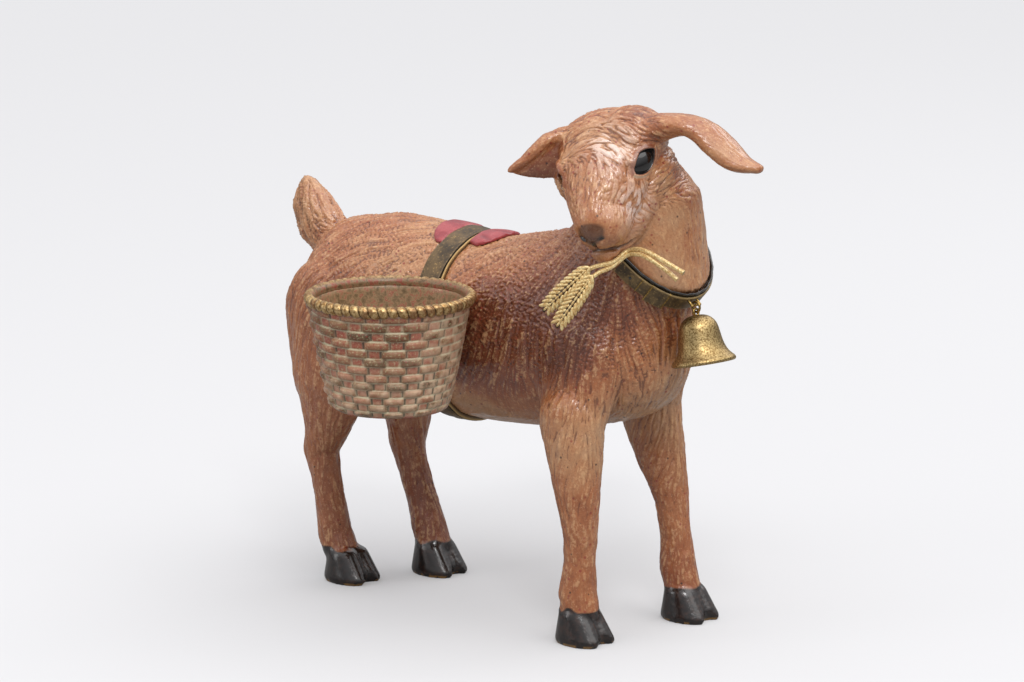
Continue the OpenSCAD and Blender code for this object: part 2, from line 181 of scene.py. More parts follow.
def spline(p, k, t):
    """Point on the smooth curve through the points p, between the kth and the next."""
    a, b, c, d = p[k - 1 : k + 3]
    return 0.5 * (2 * b + (c - a) * t + (2 * a - 5 * b + 4 * c - d) * t * t + (3 * b - a - 3 * c + d) * t**3)


def with_ends(points):
    """The points with one more at each end, carried on in line."""
    p = np.array(points, float)
    return np.concatenate([[2 * p[0] - p[1]], p, [2 * p[-1] - p[-2]]])


def swept(rows, count):
    """Rows at even steps along the smooth curve through the given rows: each row is a centre and its radii.
    """
    p = with_ends(rows)
    out = []
    for t in np.linspace(0, len(rows) - 1, count):
        k = min(int(t), len(rows) - 2)
        out.append(spline(p, k + 1, t - k))
    return out


def merge(parts):
    vs, fs, n = [], [], 0
    for v, f in parts:
        vs.append(np.asarray(v, float))
        fs += [[i + n for i in face] for face in f]
        n += len(v)
    return np.concatenate(vs), fs


def remesh(name, nodes, extra, voxel, levels):
    """One closed skin of evenly sized quads over CAD nodes and extra closed shapes."""
    parts = list(extra)
    for node in nodes:
        src = NODES[node].data
        parts.append((cad_points(src), [list(p.vertices) for p in src.polygons]))
    v, f = merge(parts)
    me = bpy.data.meshes.new(name)
    me.from_pydata(world(v).tolist(), [], f)
    bm = bmesh.new()
    bm.from_mesh(me)
    bmesh.ops.remove_doubles(bm, verts=bm.verts, dist=2e-6)
    bm.to_mesh(me)
    bm.free()
    v, q = modified(me, "REMESH", mode="VOXEL", voxel_size=voxel * 0.001)
    v, q = largest(taubin(v, q, levels), q)
    me = bpy.data.meshes.new(name)
    me.from_pydata(world(v).tolist(), [], q.tolist())
    return modified(me, "SUBSURF", levels=1, render_levels=1)


def edges_of(q):
    e = np.concatenate([q[:, [i, (i + 1) % 4]] for i in range(4)])
    e.sort(axis=1)
    return np.unique(e, axis=0)


def largest(v, q):
    """Keeps the biggest island."""
    e = edges_of(q)
    label = np.arange(len(v))
    while True:
        low = np.minimum(label[e[:, 0]], label[e[:, 1]])
        new = label.copy()
        np.minimum.at(new, e[:, 0], low)
        np.minimum.at(new, e[:, 1], low)
        new = new[new]
        if (new == label).all():
            break
        label = new
    ids, counts = np.unique(label, return_counts=True)
    keep = label == ids[counts.argmax()]
    index = np.cumsum(keep) - 1
    return v[keep], index[q[keep[q[:, 0]]]]


def smooth_step(x, e, deg, k):
    n = len(x)
    s = np.empty_like(x)
    for c in range(x.shape[1]):
        s[:, c] = np.bincount(e[:, 0], x[e[:, 1], c], n) + np.bincount(e[:, 1], x[e[:, 0], c], n)
    return x + k * (s / deg[:, None] - x)


def taubin(v, q, levels):
    """Evens out the surface without shrinking it."""
    e = edges_of(q)
    deg = np.maximum(np.bincount(e.ravel(), minlength=len(v)), 1).astype(float)
    for _ in range(levels):
        v = smooth_step(v, e, deg, 0.6)
        v = smooth_step(v, e, deg, -0.63)
    return v


def normals(v, q):
    """Unit normals at the vertices of a quad mesh."""
    d1, d2 = v[q[:, 2]] - v[q[:, 0]], v[q[:, 3]] - v[q[:, 1]]
    fn = np.cross(d1, d2)
    n = np.zeros_like(v)
    for c in range(3):
        for k in range(4):
            n[:, c] += np.bincount(q[:, k], fn[:, c], len(v))
    return unit(n)


# ------------------------------------------------------------------ carved hair


def noise(p, cell, seed=0.0):
    """Smooth random values from 0 to 1 with features about one cell wide."""
    u = p / cell + seed * 13.7
    i = np.floor(u).astype(np.int64)
    f = u - i
    f = f * f * (3 - 2 * f)
    i %= LATTICE_SIZE
    j = (i + 1) % LATTICE_SIZE
    out = 0
    for a, xa, wa in ((0, i[:, 0], 1 - f[:, 0]), (1, j[:, 0], f[:, 0])):
        for b, yb, wb in ((0, i[:, 1], 1 - f[:, 1]), (1, j[:, 1], f[:, 1])):
            for c, zc, wc in ((0, i[:, 2], 1 - f[:, 2]), (1, j[:, 2], f[:, 2])):
                out = out + LATTICE[xa, yb, zc] * wa * wb * wc
    return out


def blend_marks(p, marks, reach):
    """Values of the marks, mixed by nearness: each mark is a place followed by its values."""
    marks = np.array(marks, float)
    total = np.zeros((len(p), marks.shape[1] - 3))
    weight = np.full(len(p), 1e-12)
    for m in marks:
        w = np.exp(-((p - m[:3]) ** 2).sum(1) / (2 * reach * reach)) + 1e-9
        total += w[:, None] * m[3:]
        weight += w
    return total / weight[:, None]


def strands(p, n, flow, cell, length, seed):
    """Random values drawn out into strands along the flow, about zero with a spread of one."""
    d = unit(flow - (flow * n).sum(1, keepdims=True) * n)
    total = 0
    count = 6
    for k in range(-count, count + 1):
        w = 1 - abs(k) / (count + 1)
        total = total + w * noise(p + d * (length * k / count)[:, None], cell, seed)
    return (total - total.mean()) / total.std()


def carve(p, n, flow, length, fine):
    """Height of combed hair locks: rounded ridges with narrow grooves between them, from 0 to 1."""
    wide = np.abs(strands(p, n, flow, 2.4 * fine, length, 1.0))
    thin = np.abs(strands(p, n, flow, 1.35 * fine, 0.7 * length, 2.0))
    rough = strands(p, n, flow, 1.0 * fine, 0.4 * length, 3.0)
    h = 0.62 * np.clip(wide / 1.1, 0, 1) ** 0.7 + 0.38 * np.clip(thin / 1.1, 0, 1) ** 0.8
    return np.clip(h + 0.07 * rough, 0, 1.15)


def dabs(p, marks):
    """Sum of soft swellings and hollows: each mark is a place, a width and a height."""
    d = np.zeros(len(p))
    for x, y, z, width, height in marks:
        r2 = ((p - np.array([x, y, z])) ** 2).sum(1)
        d += height * np.exp(-r2 / (2 * width * width))
    return d


def spot(p, place, radii):
    """Soft spot, 1 at the place and fading over the radii."""
    return np.exp(-(((p - np.array(place)) / np.array(radii)) ** 2).sum(1))


def ridge(x, at, width):
    return np.exp(-(((x - at) / width) ** 2))


def sway(p, n, flow, cell, amount):
    """Turns the hair's direction a little from place to place."""
    return flow + np.cross(n, flow) * (noise(p, cell, 7)[:, None] - 0.5) * amount


def near_path(p, path):
    """Distance from each point to a run of straight pieces, and the run's share at the nearest place."""
    path = np.array(path, float)
    best = np.full(len(p), 1e9)
    share = np.zeros(len(p))
    for k in range(len(path) - 1):
        a, b = path[k], path[k + 1]
        t = np.clip(((p - a) @ (b - a)) / ((b - a) @ (b - a)), 0, 1)
        d = np.linalg.norm(p - a - t[:, None] * (b - a), axis=1)
        hit = d < best
        best[hit] = d[hit]
        share[hit] = (k + t[hit]) / (len(path) - 1)
    return best, share


def mirrored(p):
    """Points brought over to the left side."""
    return p * np.array([1, 0, 1]) + np.abs(p[:, 1:2]) * np.array([0, 1, 0])


# place (x, |y|, z), hair direction (x, |y|, z), groove depth, strand half length, tone from 0 pale to 1 dark
BODY_MARKS = [
    (-100, 16, 160, -0.7, 0.3, -0.6, 0.42, 9, 0.50),
    (-72, 18, 168, -0.85, 0.3, -0.45, 0.45, 10, 0.42),
    (-45, 20, 165, -0.85, 0.35, -0.4, 0.45, 10, 0.38),
    (-104, 30, 132, -0.3, 0, -0.95, 0.36, 8, 0.62),
    (-72, 36, 135, -0.6, 0, -0.8, 0.45, 9, 0.60),
    (-95, 32, 98, -0.15, 0, -1, 0.24, 6, 0.55),
    (-120, 8, 132, -0.1, 0, -1, 0.30, 7, 0.55),
    (-112, 14, 100, 0, 0, -1, 0.24, 6, 0.5),
    (-60, 20, 92, -0.3, -0.2, -1, 0.18, 5, 0.35),
    (-20, 30, 162, -0.75, 0.4, -0.55, 0.5, 11, 0.40),
    (8, 22, 168, -0.72, 0.4, -0.6, 0.55, 12, 0.42),
    (35, 24, 170, -0.6, 0.4, -0.7, 0.6, 12, 0.48),
    (62, 24, 176, -0.5, 0.3, -0.8, 0.55, 10, 0.52),
    (-14, 37, 130, -0.45, 0, -0.9, 0.42, 10, 0.86),
    (12, 37, 145, -0.42, 0, -0.9, 0.55, 12, 0.96),
    (38, 36, 148, -0.32, 0, -0.95, 0.6, 12, 1.0),
    (20, 36, 118, -0.3, 0, -0.95, 0.3, 8, 0.95),
    (58, 34, 150, -0.2, 0, -1, 0.6, 11, 1.0),
    (52, 36, 126, -0.3, 0, -0.95, 0.45, 10, 1.0),
    (76, 28, 150, 0.05, -0.1, -1, 0.6, 10, 0.8),
    (88, 16, 150, 0.35, -0.5, -0.8, 0.55, 10, 0.5),
    (92, 0, 146, 0.3, 0, -0.95, 0.45, 8, 0.45),
    (84, 18, 128, 0.1, -0.2, -1, 0.45, 9, 0.62),
    (86, 0, 115, 0, 0, -1, 0.3, 6, 0.15),
    (72, 20, 100, -0.1, 0, -1, 0.34, 5, 0.12),
    (56, 38, 104, -0.1, 0, -1, 0.32, 5, 0.42),
    (30, 26, 98, -0.25, -0.1, -1, 0.16, 5, 0.36),
    (0, 22, 90, -0.3, -0.1, -1, 0.14, 5, 0.2),
    (0, 0, 84, -1, 0, 0, 0.12, 5, 0.15),
    (-40, 22, 90, -0.3, -0.1, -1, 0.14, 5, 0.3),
    (60, 34, 70, 0, 0, -1, 0.30, 6, 0.50),
    (66, 34, 40, 0, 0, -1, 0.26, 5, 0.48),
    (70, 34, 20, 0, 0, -1, 0.18, 4, 0.62),
    (-98, 22, 60, 0.1, 0, -1, 0.26, 5, 0.55),
    (-94, 22, 30, 0.1, 0, -1, 0.2, 4, 0.66),
    (-72, 16, 50, 0.2, 0, -1, 0.26, 5, 0.58),
    (-66, 15, 24, 0.2, 0, -1, 0.2, 4, 0.70),
    (-122, 0, 160, -0.5, 0, 0.9, 0.6, 8, 0.30),
    (-128, 0, 176, -0.1, 0, 1, 0.6, 8, 0.16),
]

# the same in the head's own axes: forwards, |left|, up
HEAD_MARKS = [
    (-16, 3, 20, 0.1, 1, 0, 0.42, 5, 0.50),
    (-14, 14, 16, 0, 0.9, -0.4, 0.4, 5, 0.55),
    (-5, 4, 15.5, 0.25, 1, 0, 0.45, 5, 0.28),
    (2, 5, 12, 0.5, 0.9, -0.1, 0.4, 5, 0.28),
    (-2, 13, 12, 0.35, 0.8, -0.5, 0.42, 5, 0.35),
    (-8, 21, 7, -0.5, 0.6, -0.7, 0.35, 5, 0.55),
    (10, 3, 5, 0.9, 0.45, -0.3, 0.3, 4.5, 0.40),
    (8, 11, 3, 0.85, 0.4, -0.5, 0.32, 4.5, 0.45),
    (18, 3, 0, 0.9, 0.35, -0.35, 0.26, 4, 0.46),
    (18, 10, -7, 0.85, 0.1, -0.6, 0.28, 4, 0.46),
    (9, 15, -9, 0.7, 0.4, -0.6, 0.26, 4.5, 0.34),
    (0, 20, -8, -0.95, 0.4, 0.1, 0.4, 5, 0.40),
    (-10, 25, -4, -0.95, 0.2, -0.1, 0.42, 5, 0.55),
    (-10, 24, -16, -0.9, 0, -0.25, 0.34, 5, 0.42),
    (4, 18, -20, -0.9, 0.2, -0.2, 0.3, 5, 0.36),
    (15, 12, -22, -0.8, 0.3, -0.3, 0.14, 4, 0.30),
    (26, 5, -26, 0.6, 0, -0.8, 0.08, 3, 0.42),
    (29, 0, -13, 1, 0, -0.4, 0.06, 3, 0.50),
    (-6, 12, -30, -0.9, 0, -0.3, 0.06, 5, 0.18),
    (-22, 8, 16, -0.6, 0.6, -0.4, 0.36, 6, 0.55),
    (-36, 10, 0, 0.37, -0.16, -0.91, 0.34, 7, 0.60),
]
# in the CAD axes again: the neck and the ears
NECK_MARKS = [
    (102, 10, 205, 0.1, 0, -1, 0.26, 6, 0.40),
    (104, 4, 188, 0.1, 0, -1, 0.22, 6, 0.30),
    (95, -16, 190, 0, 0.1, -1, 0.1, 6, 0.15),
    (86, 22, 196, 0, 0.1, -1, 0.34, 8, 0.5),
    (70, 24, 196, -0.1, 0.1, -1, 0.38, 8, 0.55),
    (52, 8, 196, -0.3, 0, -1, 0.4, 8, 0.6),
    (52, -12, 190, -0.3, -0.2, -1, 0.4, 8, 0.6),
    (60, -24, 182, -0.2, -0.3, -1, 0.3, 8, 0.5),
    (100, -6, 233, 1, 0.3, -0.1, 0.12, 5, 0.45),
    (116, -2, 222, 0.7, 0.2, -0.6, 0.12, 5, 0.45),
    (130, 1, 216, 1, 0.1, -0.1, 0.1, 5, 0.45),
    (48, -34, 220, -0.8, -0.5, -0.4, 0.14, 5, 0.5),
    (38, -41, 213, -0.8, -0.5, -0.4, 0.12, 5, 0.5),
]


def coat_rows():
    """The head's marks for both sides in CAD axes, then the neck's."""
    rows = []
    for m in HEAD_MARKS:
        for s in (1, -1):
            place = head_world([m[0], s * m[1], m[2]])
            flip = -1 if s < 0 and abs(m[4]) > max(abs(m[3]), abs(m[5])) else 1
            way = flip * np.array([m[3], s * m[4], m[5]]) @ HEAD_R.T
            rows.append((*place, *way, *m[6:]))
    return rows + [tuple(m) for m in NECK_MARKS]


# ------------------------------------------------------------------ materials


def rgb(r, g, b):
    """Linear colour from the 0-255 sRGB values a paint is known by."""
    out = []
    for c in (r, g, b):
        c /= 255
        out.append(c / 12.92 if c <= 0.04045 else ((c + 0.055) / 1.055) ** 2.4)
    return (*out, 1.0)


class Paint:
    """A node material built up one layer at a time over a Principled shader."""

    def __init__(self, name, **settings):
        self.mat = bpy.data.materials.new(name)
        self.mat.use_nodes = True
        self.nt = self.mat.node_tree
        self.shader = self.nt.nodes["Principled BSDF"]
        self.coords = self.add("ShaderNodeTexCoord").outputs["Object"]
        for key, value in settings.items():
            self.shader.inputs[key.replace("_", " ")].default_value = value

    def add(self, kind, **props):
        node = self.nt.nodes.new(kind)
        for k, v in props.items():
            setattr(node, k, v)
        return node

    def link(self, a, b):
        self.nt.links.new(a, b)

    def attr(self, name):
        node = self.add("ShaderNodeAttribute")
        node.attribute_name = name
        return node.outputs["Fac"]

    def noise(self, size_mm, detail=2.0, rough=0.5):
        """Noise with features about size_mm across."""
        node = self.add("ShaderNodeTexNoise")
        node.inputs["Scale"].default_value = 1000.0 / size_mm
        node.inputs["Detail"].default_value = detail
        node.inputs["Roughness"].default_value = rough
        self.link(self.coords, node.inputs["Vector"])
        return node.outputs["Fac"]

    def cells(self, size_mm):
        """Distance from the nearest of many scattered points."""
        node = self.add("ShaderNodeTexVoronoi")
        node.inputs["Scale"].default_value = 1000.0 / size_mm
        self.link(self.coords, node.inputs["Vector"])
        return node.outputs["Distance"]

    def ramp(self, value, stops):
        node = self.add("ShaderNodeValToRGB")
        r = node.color_ramp
        while len(r.elements) < len(stops):
            r.elements.new(0.5)
        for e, (pos, colour) in zip(r.elements, stops):
            e.position = pos
            e.color = colour
        self.link(value, node.inputs["Fac"])
        return node.outputs["Color"]

    def put(self, value, socket):
        """Sets a socket from a number, a colour or another node."""
        if isinstance(value, (int, float, tuple)):
            socket.default_value = value
        else:
            self.link(value, socket)

    def math(self, op, a, b, clamp=False):
        node = self.add("ShaderNodeMath", operation=op, use_clamp=clamp)
        self.put(a, node.inputs[0])
        self.put(b, node.inputs[1])
        return node.outputs[0]

    def times(self, a, b):
        return self.math("MULTIPLY", a, b)

    def plus(self, base, value, share):
        """base + share * value"""
        return self.math("ADD", base, self.times(value, share))

    def band(self, value, lo, hi):
        """0 below lo, 1 above hi; lo may be the larger."""
        node = self.add("ShaderNodeMapRange", clamp=True)
        node.interpolation_type = "SMOOTHSTEP"
        flip = lo > hi
        node.inputs["From Min"].default_value = min(lo, hi)
        node.inputs["From Max"].default_value = max(lo, hi)
        node.inputs["To Min"].default_value = 1.0 if flip else 0.0
        node.inputs["To Max"].default_value = 0.0 if flip else 1.0
        self.link(value, node.inputs["Value"])
        return node.outputs["Result"]

    def mix(self, fac, a, b):
        node = self.add("ShaderNodeMix", data_type="RGBA")
        self.put(fac, node.inputs["Factor"])
        for name, value in (("A", a), ("B", b)):
            self.put(value, [s for s in node.inputs if s.name == name and s.type == "RGBA"][0])
        return [s for s in node.outputs if s.type == "RGBA"][0]

    def over(self, under, where, share, colour):
        """A colour laid over what is there, as strong as its share of where."""
        return self.mix(self.times(where, share), under, colour)

    def finish(self, colour, rough=None, bump=None, depth_mm=0.05, metal=None):
        for val, name in ((colour, "Base Color"), (rough, "Roughness"), (metal, "Metallic")):
            if val is not None:
                self.link(val, self.shader.inputs[name])
        if bump is not None:
            node = self.add("ShaderNodeBump")
            node.inputs["Distance"].default_value = depth_mm * 0.001
            node.inputs["Strength"].default_value = 1.0
            self.link(bump, node.inputs["Height"])
            self.link(node.outputs["Normal"], self.shader.inputs["Normal"])
        return self.mat


def coat_paint():
    p = Paint("coat_paint", Coat_Weight=0.7, Coat_Roughness=0.16, Coat_IOR=1.5, Specular_IOR_Level=0.5)
    mottle = p.noise(9, 4, 0.6)
    tone = p.plus(p.attr("tone"), p.math("SUBTRACT", mottle, 0.5), 0.5)
    c = p.ramp(
        tone,
        [
            (0.0, rgb(188, 152, 118)),
            (0.3, rgb(188, 134, 92)),
            (0.5, rgb(172, 106, 64)),
            (0.72, rgb(138, 74, 42)),
            (1.0, rgb(104, 50, 29)),
        ],
    )
    hair = p.attr("hair")
    broken = p.noise(2.2, 3, 0.6)
    crest = p.times(p.band(hair, 0.66, 0.98), p.band(broken, 0.4, 0.62))
    c = p.over(c, crest, 0.55, rgb(228, 180, 132))
    # painted highlight: near-white glare laid on the ridges inside the forehead and cheek patches
    pale = p.math("MULTIPLY", p.attr("glare"), p.band(hair, 0.45, 0.85), clamp=True)
    c = p.over(c, pale, 0.85, rgb(240, 216, 204))
    groove = p.band(hair, 0.42, 0.1)
    c = p.over(c, groove, 0.62, rgb(84, 40, 27))
    grain = p.noise(0.9, 2, 0.7)
    c = p.over(c, p.band(grain, 0.56, 0.7), 0.45, rgb(128, 62, 44))
    c = p.over(c, p.band(grain, 0.42, 0.3), 0.4, rgb(226, 176, 136))
    spots = p.times(p.band(p.cells(3.1), 0.26, 0.12), p.band(p.noise(14, 2), 0.42, 0.6))
    c = p.over(c, spots, 0.75, rgb(140, 44, 34))
    c = p.over(c, p.band(p.cells(6.3), 0.11, 0.05), 0.8, rgb(40, 20, 16))
    black = p.mix(p.band(broken, 0.45, 0.7), rgb(22, 14, 12), rgb(52, 32, 24))
    c = p.mix(p.band(p.attr("dark"), 0.15, 0.8), c, black)
    c = p.mix(p.attr("worn"), c, rgb(150, 112, 60))
    rough = p.math("SUBTRACT", p.plus(0.3, broken, 0.2), p.times(p.attr("dark"), 0.2), clamp=True)
    return p.finish(c, rough, p.plus(grain, p.noise(0.5, 2), 0.5), 0.09)


def glossy(name, colour, rough, fleck, **more):
    p = Paint(name, Specular_IOR_Level=0.6, **more)
    n = p.noise(1.3, 3, 0.6)
    return p.finish(p.mix(p.band(n, 0.4, 0.7), colour, fleck), p.plus(rough, n, 0.1), n, 0.02)


def brass(name, light, dark, size, rough, patina=0.5):
    """Aged metal: light where rubbed, dark in a fine grain."""
    p = Paint(name, Metallic=1.0)
    grain = p.noise(size, 4, 0.7)
    c = p.mix(p.band(grain, 0.38, 0.62), dark, light)
    c = p.over(c, p.band(p.noise(size * 9, 2), 0.45, 0.7), patina, dark)
    return p.finish(c, p.plus(rough, grain, 0.22), grain, 0.05)


coat = coat_paint()
eye_black = glossy("eye_black", rgb(12, 10, 10), 0.05, rgb(20, 15, 14), Coat_Weight=0.6, Coat_Roughness=0.03)
lining_black = glossy("lining_black", rgb(18, 14, 13), 0.18, rgb(60, 52, 44), Coat_Weight=0.5)
bell_brass = brass("bell_brass", rgb(206, 180, 128), rgb(124, 98, 60), 0.7, 0.3, patina=0.35)
wire_brass = brass("wire_brass", rgb(214, 180, 110), rgb(96, 72, 36), 0.5, 0.28)


def split(v, q, n, region, pieces, values):
    """Cuts a closed skin into closed pieces by face region, each standing for one CAD node.
    The cuts match, and the shading runs on over them."""
    for r, (name, node) in enumerate(pieces):
        faces = q[region == r]
        used = np.unique(faces)
        index = np.full(len(v), -1)
        index[used] = np.arange(len(used))
        faces = index[faces]
        pts, nrm = v[used], n[used]
        # open edges, followed round into loops that a fan of triangles closes
        e = np.concatenate([faces[:, [k, (k + 1) % 4]] for k in range(4)])
        _, inv, count = np.unique(np.sort(e, axis=1), axis=0, return_inverse=True, return_counts=True)
        after = {int(a): int(b) for a, b in e[count[inv.ravel()] == 1]}
        polys = faces.tolist()
        extra_v, extra_n, seen = [], [], set()
        for start in list(after):
            if start in seen:
                continue
            loop, k = [], start
            while k in after and k not in seen:
                seen.add(k)
                loop.append(k)
                k = after[k]
            c = len(pts) + len(extra_v)
            extra_v.append(pts[loop].mean(0))
            extra_n.append(unit(nrm[loop].mean(0)))
            for i, a in enumerate(loop):
                b = loop[(i + 1) % len(loop)]
                if after.get(a) == b:
                    polys.append([b, a, c])
        allv = np.concatenate([pts, extra_v]) if extra_v else pts
        alln = np.concatenate([nrm, extra_n]) if extra_v else nrm
        ob = new_object(name, allv, polys, coat)
        if len(ob.data.vertices) == len(alln):
            ob.data.normals_split_custom_set_from_vertices(alln.tolist())
        pad = len(extra_v)
        padded = {k: np.concatenate([d[used], np.full(pad, d[used].mean())]) for k, d in values.items()}
        add_values(ob, **padded)
        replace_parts(ob, node)


# ------------------------------------------------------------------ trunk, legs and tail

# fills the hollow of the barrel, the casting vent and the sockets behind the panniers
FILL = [
    (-88, 0, 130, 28, 30, 36),
    (-60, 0, 129, 36, 33, 40),
    (-30, 0, 127.5, 36, 36.4, 40.6),
    (-15, 0, 127.5, 36, 36.9, 40.6),
    (10, 0, 129.5, 36, 34, 40.5),
    (40, 0, 135, 36, 32, 41),
]
TAIL = [
    (-112, 0, 154, 12, 9, 10),
    (-119, 0, 163, 11.5, 9.5, 10),
    (-124, 0, 172, 8.5, 7.5, 8),
    (-127.5, 0, 179, 4.5, 4.5, 4.5),
]
LEG_TOP = 82
TRUNK_PIECES = [
    ("coat_fore", "torso"),
    ("coat_hind", "torso"),
    ("leg_fore_right", "front_right_leg"),
    ("leg_fore_left", "front_left_leg"),
    ("leg_hind_right", "rear_right_leg"),
    ("leg_hind_left", "rear_left_leg"),
    ("coat_tail", "tail"),
]


def hoof_masks(p):
    """How far each point belongs to a hoof, and to the worn edge of its sole."""
    z = p[:, 2]
    edge = 15.5 + 3.2 * (noise(p, 5, 4) - 0.5)
    return step(edge - z, -1.6, 1.2), step(1.5 - z, 0, 0.8) * (noise(p, 2.5, 5) > 0.52)


def trunk_regions(centre):
    """Number in TRUNK_PIECES of the piece that each face belongs to."""
    x, y, z = centre.T
    region = np.where(x > GIRTH_X - 0.5, 0, 1)
    fore = (z < LEG_TOP) & (x > 0)
    hind = (z < LEG_TOP) & (x < 0)
    region[fore] = np.where(y[fore] > 0, 3, 2)
    region[hind] = np.where(y[hind] > -4, 5, 4)
    region[(centre - np.array([-113, 0, 160])) @ np.array([-0.7, 0, 0.7]) > 0] = 6
    return region


def make_trunk():
    nodes = ["torso", "tail", "front_right_leg", "front_left_leg", "rear_right_leg", "rear_left_leg"]
    extra = [ellipsoid(f[:3], f[3:]) for f in FILL + swept(TAIL, 16)]
    v, q = remesh("trunk", nodes, extra, 1.1, 12)
    n = normals(v, q)
    values = blend_marks(mirrored(v), BODY_MARKS, 13)
    flow = values[:, :3] * np.where(v[:, 1:2] < 0, [[1, -1, 1]], [[1, 1, 1]])
    depth, length, tone = values[:, 3], values[:, 4], values[:, 5]
    hair = carve(v, n, sway(v, n, flow, 16, 0.9), length * 1.5, 0.74)
    hoof, worn = hoof_masks(v)
    # no hair on the hooves, and almost none under the strap
    depth = depth * (1 - hoof) * (0.15 + 0.85 * step(np.abs(v[:, 0] - GIRTH_X), 6, 8.5))
    sole = step(v[:, 2], 0.2, 2.5)
    lift = depth * (hair - HAIR_MID) * 2.5 * sole
    lift = lift + 0.5 * (noise(v, 7, 9) - 0.5) * (1 - hoof) * sole
    v = v + n * lift[:, None]
    v[:, 2] = np.where(v[:, 2] < 0.35, 0.0, v[:, 2])
    n = normals(v, q)
    hair = np.clip(0.75 + (hair - 0.75) * np.clip(depth / 0.3, 0, 1.4), 0, 1)
    tone = tone + 0.25 * (noise(v, 22, 3) - 0.5)
    values = {"tone": tone, "hair": hair, "dark": hoof, "worn": worn, "glare": np.zeros(len(v))}
    split(v, q, n, trunk_regions(v[q].mean(1)), TRUNK_PIECES, values)
    return v, q


trunk_v, trunk_q = make_trunk()
trunk_tree = BVHTree.FromPolygons(trunk_v.tolist(), trunk_q.tolist())

# ------------------------------------------------------------------ head, neck and ears

# eye openings in the head's axes, middle and way out, then the almond's half length and height
EYES = [((2.6, 20.0, 4.4), (0.6, 0.72, 0.35)), ((4.0, -18.3, 3.2), (0.5, -0.83, 0.25))]
EYE_LONG, EYE_HIGH = 7.0, 3.9

# fuller cheeks, temples, brow and muzzle over the plain lobes
CHEEK = [
    (-11, 14, -9, 17, 15.5, 15),
    (-3, 12.4, -14, 15, 12.6, 12.6),
    (4, 10, -18, 13, 10.2, 10.2),
    (17, 5.5, -21.5, 10, 8, 8.4),
]
SIDE = [
    (-14, 12, 7.5, 15, 16.6, 14),
    (-4.6, 11.4, 0.2, 12, 12, 12),
    (6, 8.6, -5, 11.5, 11.2, 11.2),
    (15, 5.6, -9.5, 10.5, 10.4, 10.8),
    (23, 0, -11.5, 10, 11.5, 11),
]
# swellings and hollows: place, width and height
FACE = [
    (28.8, 6.0, -13.0, 1.9, 0.5),
    (31.5, -1, -11.5, 2.6, 0.6),
    (29.5, 3.6, -20.2, 2.2, 0.45),
    (26, 0, -31, 3.5, 0.4),
    (20, 11, -13, 3.0, -0.35),
    (10, 14, -5.5, 3.0, -0.8),
    (5, 9, 8.5, 4.0, 0.5),
    (-2, 19, 11.5, 3.4, 0.7),
    (8, 18, -2.5, 2.2, 0.5),
]
NOSTRILS = [(30.4, 2.9, -14.0), (30.4, -6.7, -14.0)]
MOUTH_X, MOUTH_Z = [21.5, 26, 29, 31], [-25.5, -24, -22.2, -21.5]
HEAD_PIECES = [("head_coat", "head"), ("ear_left", "left_ear"), ("ear_right", "right_ear")]
# the ears, in the CAD axes
LEFT_EAR = [
    (80, -18, 224, 8, 7, 8),
    (88, -15, 229.6, 7.6, 7.4, 7),
    (96, -12, 232.6, 6.6, 8, 5.6),
    (104.5, -8.5, 233.2, 6.2, 9, 4.6),
    (111, -4.5, 229.8, 6, 10, 4.3),
    (117.5, -2, 223.8, 5.6, 10.5, 4.2),
    (125, 0, 217.8, 5, 8.5, 3.6),
    (134, 2, 216, 2.4, 3.5, 2.2),
]
# the right ear: a thin hanging leaf under a rolled upper edge
EAR_LEAF = [
    (60, -22, 218, 6, 4, 10),
    (52, -26.5, 217.5, 5, 2, 9.5),
    (46, -33, 215, 4.5, 1.7, 8.6),
    (40, -38.5, 212.4, 4.2, 1.6, 5.4),
    (35.4, -42, 210.6, 2.6, 1.4, 2.4),
]
EAR_ROLL = [
    (60, -22.5, 226, 5, 5, 5),
    (53, -26.5, 226.6, 4, 3.8, 3.4),
    (47.5, -33.5, 224.6, 3.6, 3.4, 3.1),
    (44, -38, 220.4, 3.2, 3, 2.9),
    (40, -41.5, 215.6, 2.6, 2.6, 2.3),
    (36, -44, 212, 2, 2, 1.8),
    (33.6, -45, 210.2, 1.3, 1.3, 1.3),
]


def eye_frame(mid, out, local, n_local):
    """Centre and axes of an eye opening: along it, across it, and out; the centre moves on to the skin."""
    mid, out = np.array(mid), unit(out)
    along = np.array([-11.7, 7.3 * np.sign(mid[1]), 5.07])
    along = unit(along - (along @ out) * out)
    across = np.cross(out, along)
    if across[2] < 0:
        across = -across
    rel = local - mid
    aside = np.linalg.norm(rel - (rel @ out)[:, None] * out, axis=1)
    sel = (aside < 3.5) & (np.abs(rel @ out) < 7) & (n_local @ out > 0.4)
    return mid + out * (rel[sel] @ out).mean(), along, across, out


def almond(u, w):
    """Signed distance to an almond outline, negative inside."""
    r = (EYE_LONG**2 + EYE_HIGH**2) / (2 * EYE_HIGH)
    c = r - EYE_HIGH
    return np.maximum(np.hypot(u, w + c) - r, np.hypot(u, w - c) - r)


def head_skin():
    """Skin of the head with its fuller cheeks, temples, muzzle and ears."""
    extra = []
    for row in swept(CHEEK, 14) + swept(SIDE, 18):
        extra.append(ellipsoid(head_world(row[:3]), row[3:], HEAD_R))
        other = np.array([row[0], 6 - row[1], row[2] - 1.5])
        extra.append(ellipsoid(head_world(other), row[3:] * np.array([1, 0.97, 0.93]), HEAD_R))
    for path, count in ((LEFT_EAR, 26), (EAR_LEAF, 22), (EAR_ROLL, 26)):
        extra += [ellipsoid(row[:3], row[3:]) for row in swept(path, count)]
    return remesh("head_skin", ["head"], extra, 0.86, 14)


